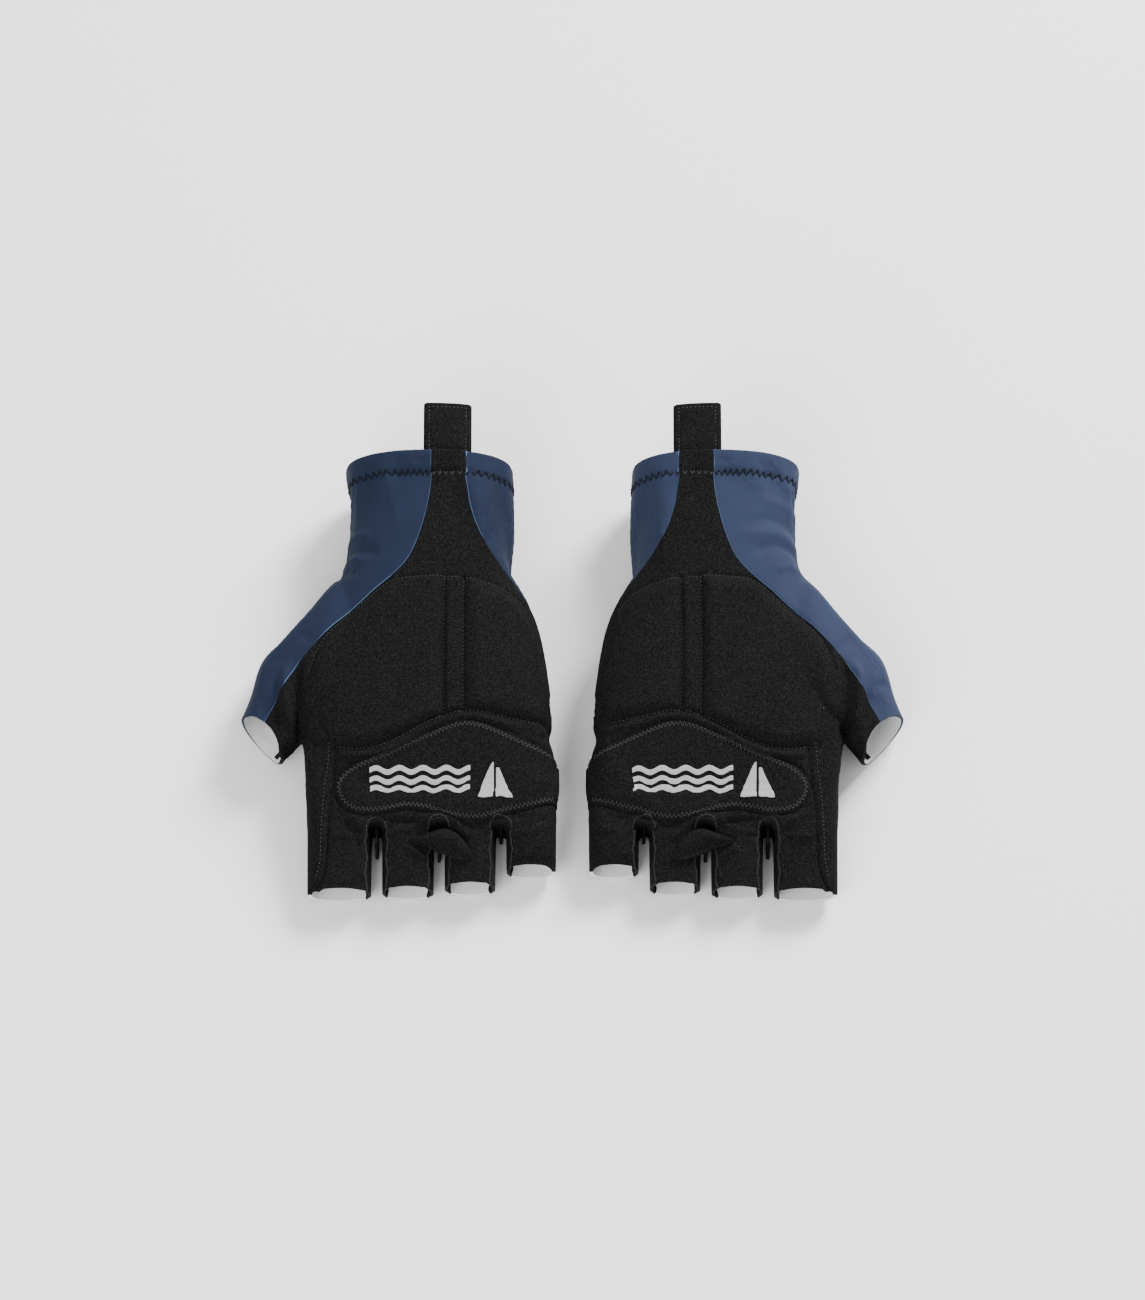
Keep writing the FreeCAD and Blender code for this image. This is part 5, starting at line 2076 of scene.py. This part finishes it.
def print_field(p: Array, hand: Hand) -> Array:
    """Marks the print: three waves, and two sails at their +X end.

    Args:
        p: Places in the right-hand glove's plan.
        hand: Which glove it is for, because the mark isn't mirrored.

    Returns:
        A field that is positive on the print.
    """
    middle, start, end, _ = PRINT
    x = p[:, 0] if hand is Hand.RIGHT else start + end - p[:, 0]
    y = p[:, 1] - middle
    extent, stroke, pitch = 12.5, 1.5, 3.5
    stop = end - extent - 3.0
    wave = 0.75 * np.sin((x - start) * 2 * math.pi / 8.6)
    along_x = np.minimum(x - start, stop - x)
    best = np.full(len(p), -FAR)
    for k in (-1, 0, 1):
        line = stroke / 2 - np.abs(y - k * pitch - wave)
        best = np.maximum(best, np.minimum(line, along_x))
    luff, stay = end - extent * 0.56, end - extent * 0.46
    half = extent / 2
    share = np.clip((half - y) / extent, 0, 1)
    main = least(luff - x, x - (luff - 0.44 * extent * share ** 0.8), y + half, half - y)
    fore = least(x - stay, (stay + 0.46 * extent * share ** 1.1) - x, y + half, half - 2.0 - y)
    return np.maximum(best, np.maximum(main, fore))


def web_saddle(x: float, front: float, back: float, gap: float) -> Cloth:
    """Makes a web's two faces and its curved front edge, as a sheet round a slot's end.

    Args:
        x: Middle of the slot.
        front: Y of the web's front at its lowest place.
        back: Y of its hidden end.
        gap: Width of the slot.

    Returns:
        The web's outer sheet.
    """
    half = gap / 2 - 0.12
    rows, columns = 12, 14
    heights = np.linspace(1.4, 14.6, rows)
    points, normals = [], []
    for z in heights:
        lean = ((z - 7.0) / 7.6) ** 2
        tip = front + 3.0 * lean
        depth = np.linspace(0.0, 1.0, columns // 2)
        run = (back - tip - half) * depth
        right = np.column_stack([np.full(len(run), x + half), back - run, np.full(len(run), z)])
        turn = np.linspace(0, math.pi, 5)[1:-1]
        nose = np.column_stack([x + half * np.cos(turn), tip + half - half * np.sin(turn), np.full(3, z)])
        left = right[::-1] - np.array([2 * half, 0, 0])
        points.append(np.vstack([right, nose, left]))
        side = np.vstack([np.tile([1.0, 0, 0], (len(run), 1)),
                          np.column_stack([np.cos(turn), -np.sin(turn), np.zeros(3)]),
                          np.tile([-1.0, 0, 0], (len(run), 1))])
        normals.append(side)
    tris = grid_tris(rows, len(points[0]), turned=True)
    cloth = Cloth(np.vstack(points), np.vstack(normals), tris)
    face = np.cross(cloth.points[tris[0, 1]] - cloth.points[tris[0, 0]],
                    cloth.points[tris[0, 2]] - cloth.points[tris[0, 0]])
    if face @ cloth.normals[tris[0, 0]] < 0:
        cloth.tris = tris[:, ::-1]
    return cloth


def flap_half(name: str) -> Panel:
    """Makes the half of the pinched fold over the middle slot that lies on one stall.

    Args:
        name: The stall's name.

    Returns:
        The half as a panel of suede.
    """
    split = PLAN.slots[1]
    top = even(curve(FLAP_TOP, 0.6), 0.5)
    low = even(curve(FLAP_LOW, 0.6), 0.5)
    share = np.linspace(0.0, 1.0, 61)
    ends = [np.linspace(0.0, 1.0, len(side)) for side in (top, low)]
    top, low = (np.stack([np.interp(share, at, side[:, k]) for k in (0, 1)], 1)
                for at, side in zip(ends, (top, low)))
    across = np.linspace(0.0, 1.0, 15)
    plan = top[:, None] * (1 - across[None, :, None]) + low[:, None] * across[None, :, None]
    rise = np.sin(math.pi * share)[:, None] ** 0.7
    hump = np.sin(math.pi * np.minimum(across * 1.05 + 0.12, 1.0)) ** 0.8
    crimp = 0.25 * np.sin(9.0 * share)[:, None] * across[None]
    height = 12.9 + 0.255 * plan[..., 1] + 0.75 + rise * (2.3 * hump[None] + 0.5 * across[None]) + crimp
    side = FLAP_SIDES[name]
    reach = np.abs(plan[:, 0, 0] - split).argmin()
    rows = slice(0, reach + 1) if side < 0 else slice(reach, None)
    grid = np.concatenate([plan, height[..., None]], axis=2)[rows]
    tris = grid_tris(*grid.shape[:2])
    points = grid.reshape(-1, 3)
    normals = vertex_normals(points, tris)
    if normals[:, 2].mean() < 0:
        tris, normals = tris[:, ::-1], -normals
    return plain(Cloth(points, normals, tris), SUEDE, 0.0, 0.95, sewn=False)


def tab_cloth(left: float, right: float, begin: float, end: float,
              height: Callable[[Array], Array], square: bool) -> list[Cloth]:
    """Makes the upper and lower layers of a stretch of the pull tab.

    Args:
        left: X of one edge.
        right: X of the other.
        begin: Y of the end towards the glove.
        end: Y of the far end.
        height: Gives the middle height at each X.
        square: Whether the far corners are square, as in the hidden root.

    Returns:
        The two layers, each facing away from the other.
    """
    across = np.linspace(left, right, 41)
    up = np.linspace(begin, end, max(6, int((end - begin) / 0.45)))
    x, y = np.meshgrid(across, up)
    corner = 0.0 if square else 1.2
    over = np.maximum(0.0, y - (end - corner)) if corner else np.zeros_like(y)
    squeeze = corner - np.sqrt(np.maximum(corner ** 2 - over ** 2, 0.0)) if corner else 0.0
    middle = (left + right) / 2
    x = middle + (x - middle) * (1 - squeeze * 2 / (right - left))
    edge = np.minimum(np.minimum(x - left, right - x), end - y if not square else 99.0)
    puff = 0.95 * np.sqrt(1 - (1 - np.clip(edge / 1.1, 0, 1)) ** 2)
    puff -= bump(0.32, edge - 2.0, 0.55)
    bow = 0.0 if square else 0.5 * np.sin((y - begin) / (end - begin) * math.pi)
    level = height(x) + bow
    layers = []
    for sign in (1.0, -1.0):
        z = level + sign * np.maximum(puff, 0.3)
        points = np.column_stack([x.ravel(), y.ravel(), z.ravel()])
        tris = grid_tris(*x.shape)
        if sign < 0:
            tris = tris[:, ::-1]
        layers.append(Cloth(points, vertex_normals(points, tris), tris))
    return layers


# ---------------------------------------------------------------------------- the stage


@dataclass(frozen=True)
class Lamp:
    """A square soft light that shines at the middle of the floor.

    Attributes:
        name: Its name.
        place: Where it is, in metres.
        size: Length of its side, in metres.
        power: Power, in watts.
    """

    name: str
    place: Point3
    size: float
    power: float

    def hang(self) -> None:
        """Puts the light in the scene."""
        data = bpy.data.lights.new(self.name, "AREA")
        data.energy = self.power
        data.size = self.size
        light = add_object(self.name, data)
        light.location = self.place
        light.rotation_euler = Vector(self.place).to_track_quat("Z", "Y").to_euler()


@dataclass(frozen=True)
class Studio:
    """Floor, soft lights and camera, in metres.

    Attributes:
        elevation: Angle of the view above the floor, in degrees.
        distance: From the camera to its aim.
        frame_height: Height of the picture at the aim.
        aim: What the camera looks at.
        floor_half: Half of the floor's side.
        floor_gap: How far the floor lies under the gloves.
        floor_tone: Grey of the floor, linear.
        sky: Strength of the pale world.
        lamps: The soft lights.
    """

    elevation: float = 68.0
    distance: float = 3.0
    frame_height: float = 0.481
    aim: Point3 = (0.0, 0.0014, 0.017)
    floor_half: float = 3.0
    floor_gap: float = 0.0002
    floor_tone: float = 0.9
    sky: float = 0.92
    lamps: tuple[Lamp, ...] = (
        Lamp("key", (1.0, 1.3, 1.15), 0.7, 100.0),
        Lamp("fill", (-0.7, -1.0, 0.9), 1.0, 22.0),
    )

    def floor(self) -> None:
        """Lays the plain pale floor under the gloves."""
        corners = np.array([[-1, -1, 0], [1, -1, 0], [1, 1, 0], [-1, 1, 0]], float)
        item = make_object("floor", corners * self.floor_half, [[0, 1, 2], [0, 2, 3]])
        item.location.z = -self.floor_gap
        material = bpy.data.materials.new("pale floor")
        material.use_nodes = True
        shader = main_shader(material)
        shader.inputs["Base Color"].default_value = (*[self.floor_tone] * 3, 1.0)
        shader.inputs["Roughness"].default_value = 0.9
        item.data.materials.append(material)

    def lights(self) -> None:
        """Makes the pale world and hangs the soft lights."""
        world = bpy.data.worlds.new("studio")
        world.use_nodes = True
        background = world.node_tree.nodes["Background"]
        background.inputs["Color"].default_value = (1.0, 1.0, 1.0, 1.0)
        background.inputs["Strength"].default_value = self.sky
        bpy.context.scene.world = world
        for lamp in self.lamps:
            lamp.hang()

    def camera(self) -> None:
        """Sets up a long lens that looks down on the palms from the fingers' side."""
        data = bpy.data.cameras.new("camera")
        data.lens = 36.0 * self.distance / self.frame_height
        camera = add_object("camera", data)
        tilt = math.radians(self.elevation)
        back = Vector((0.0, -math.cos(tilt), math.sin(tilt)))
        camera.location = Vector(self.aim) + back * self.distance
        camera.rotation_euler = back.to_track_quat("Z", "Y").to_euler()
        bpy.context.scene.camera = camera


def main() -> None:
    """Builds both gloves and the studio around them."""
    logging.basicConfig(level=logging.INFO, format="%(name)s: %(message)s")
    for hand in Hand:
        Glove(hand).build()
    studio = Studio()
    studio.floor()
    studio.lights()
    studio.camera()
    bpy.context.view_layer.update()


if __name__ == "__main__":
    main()
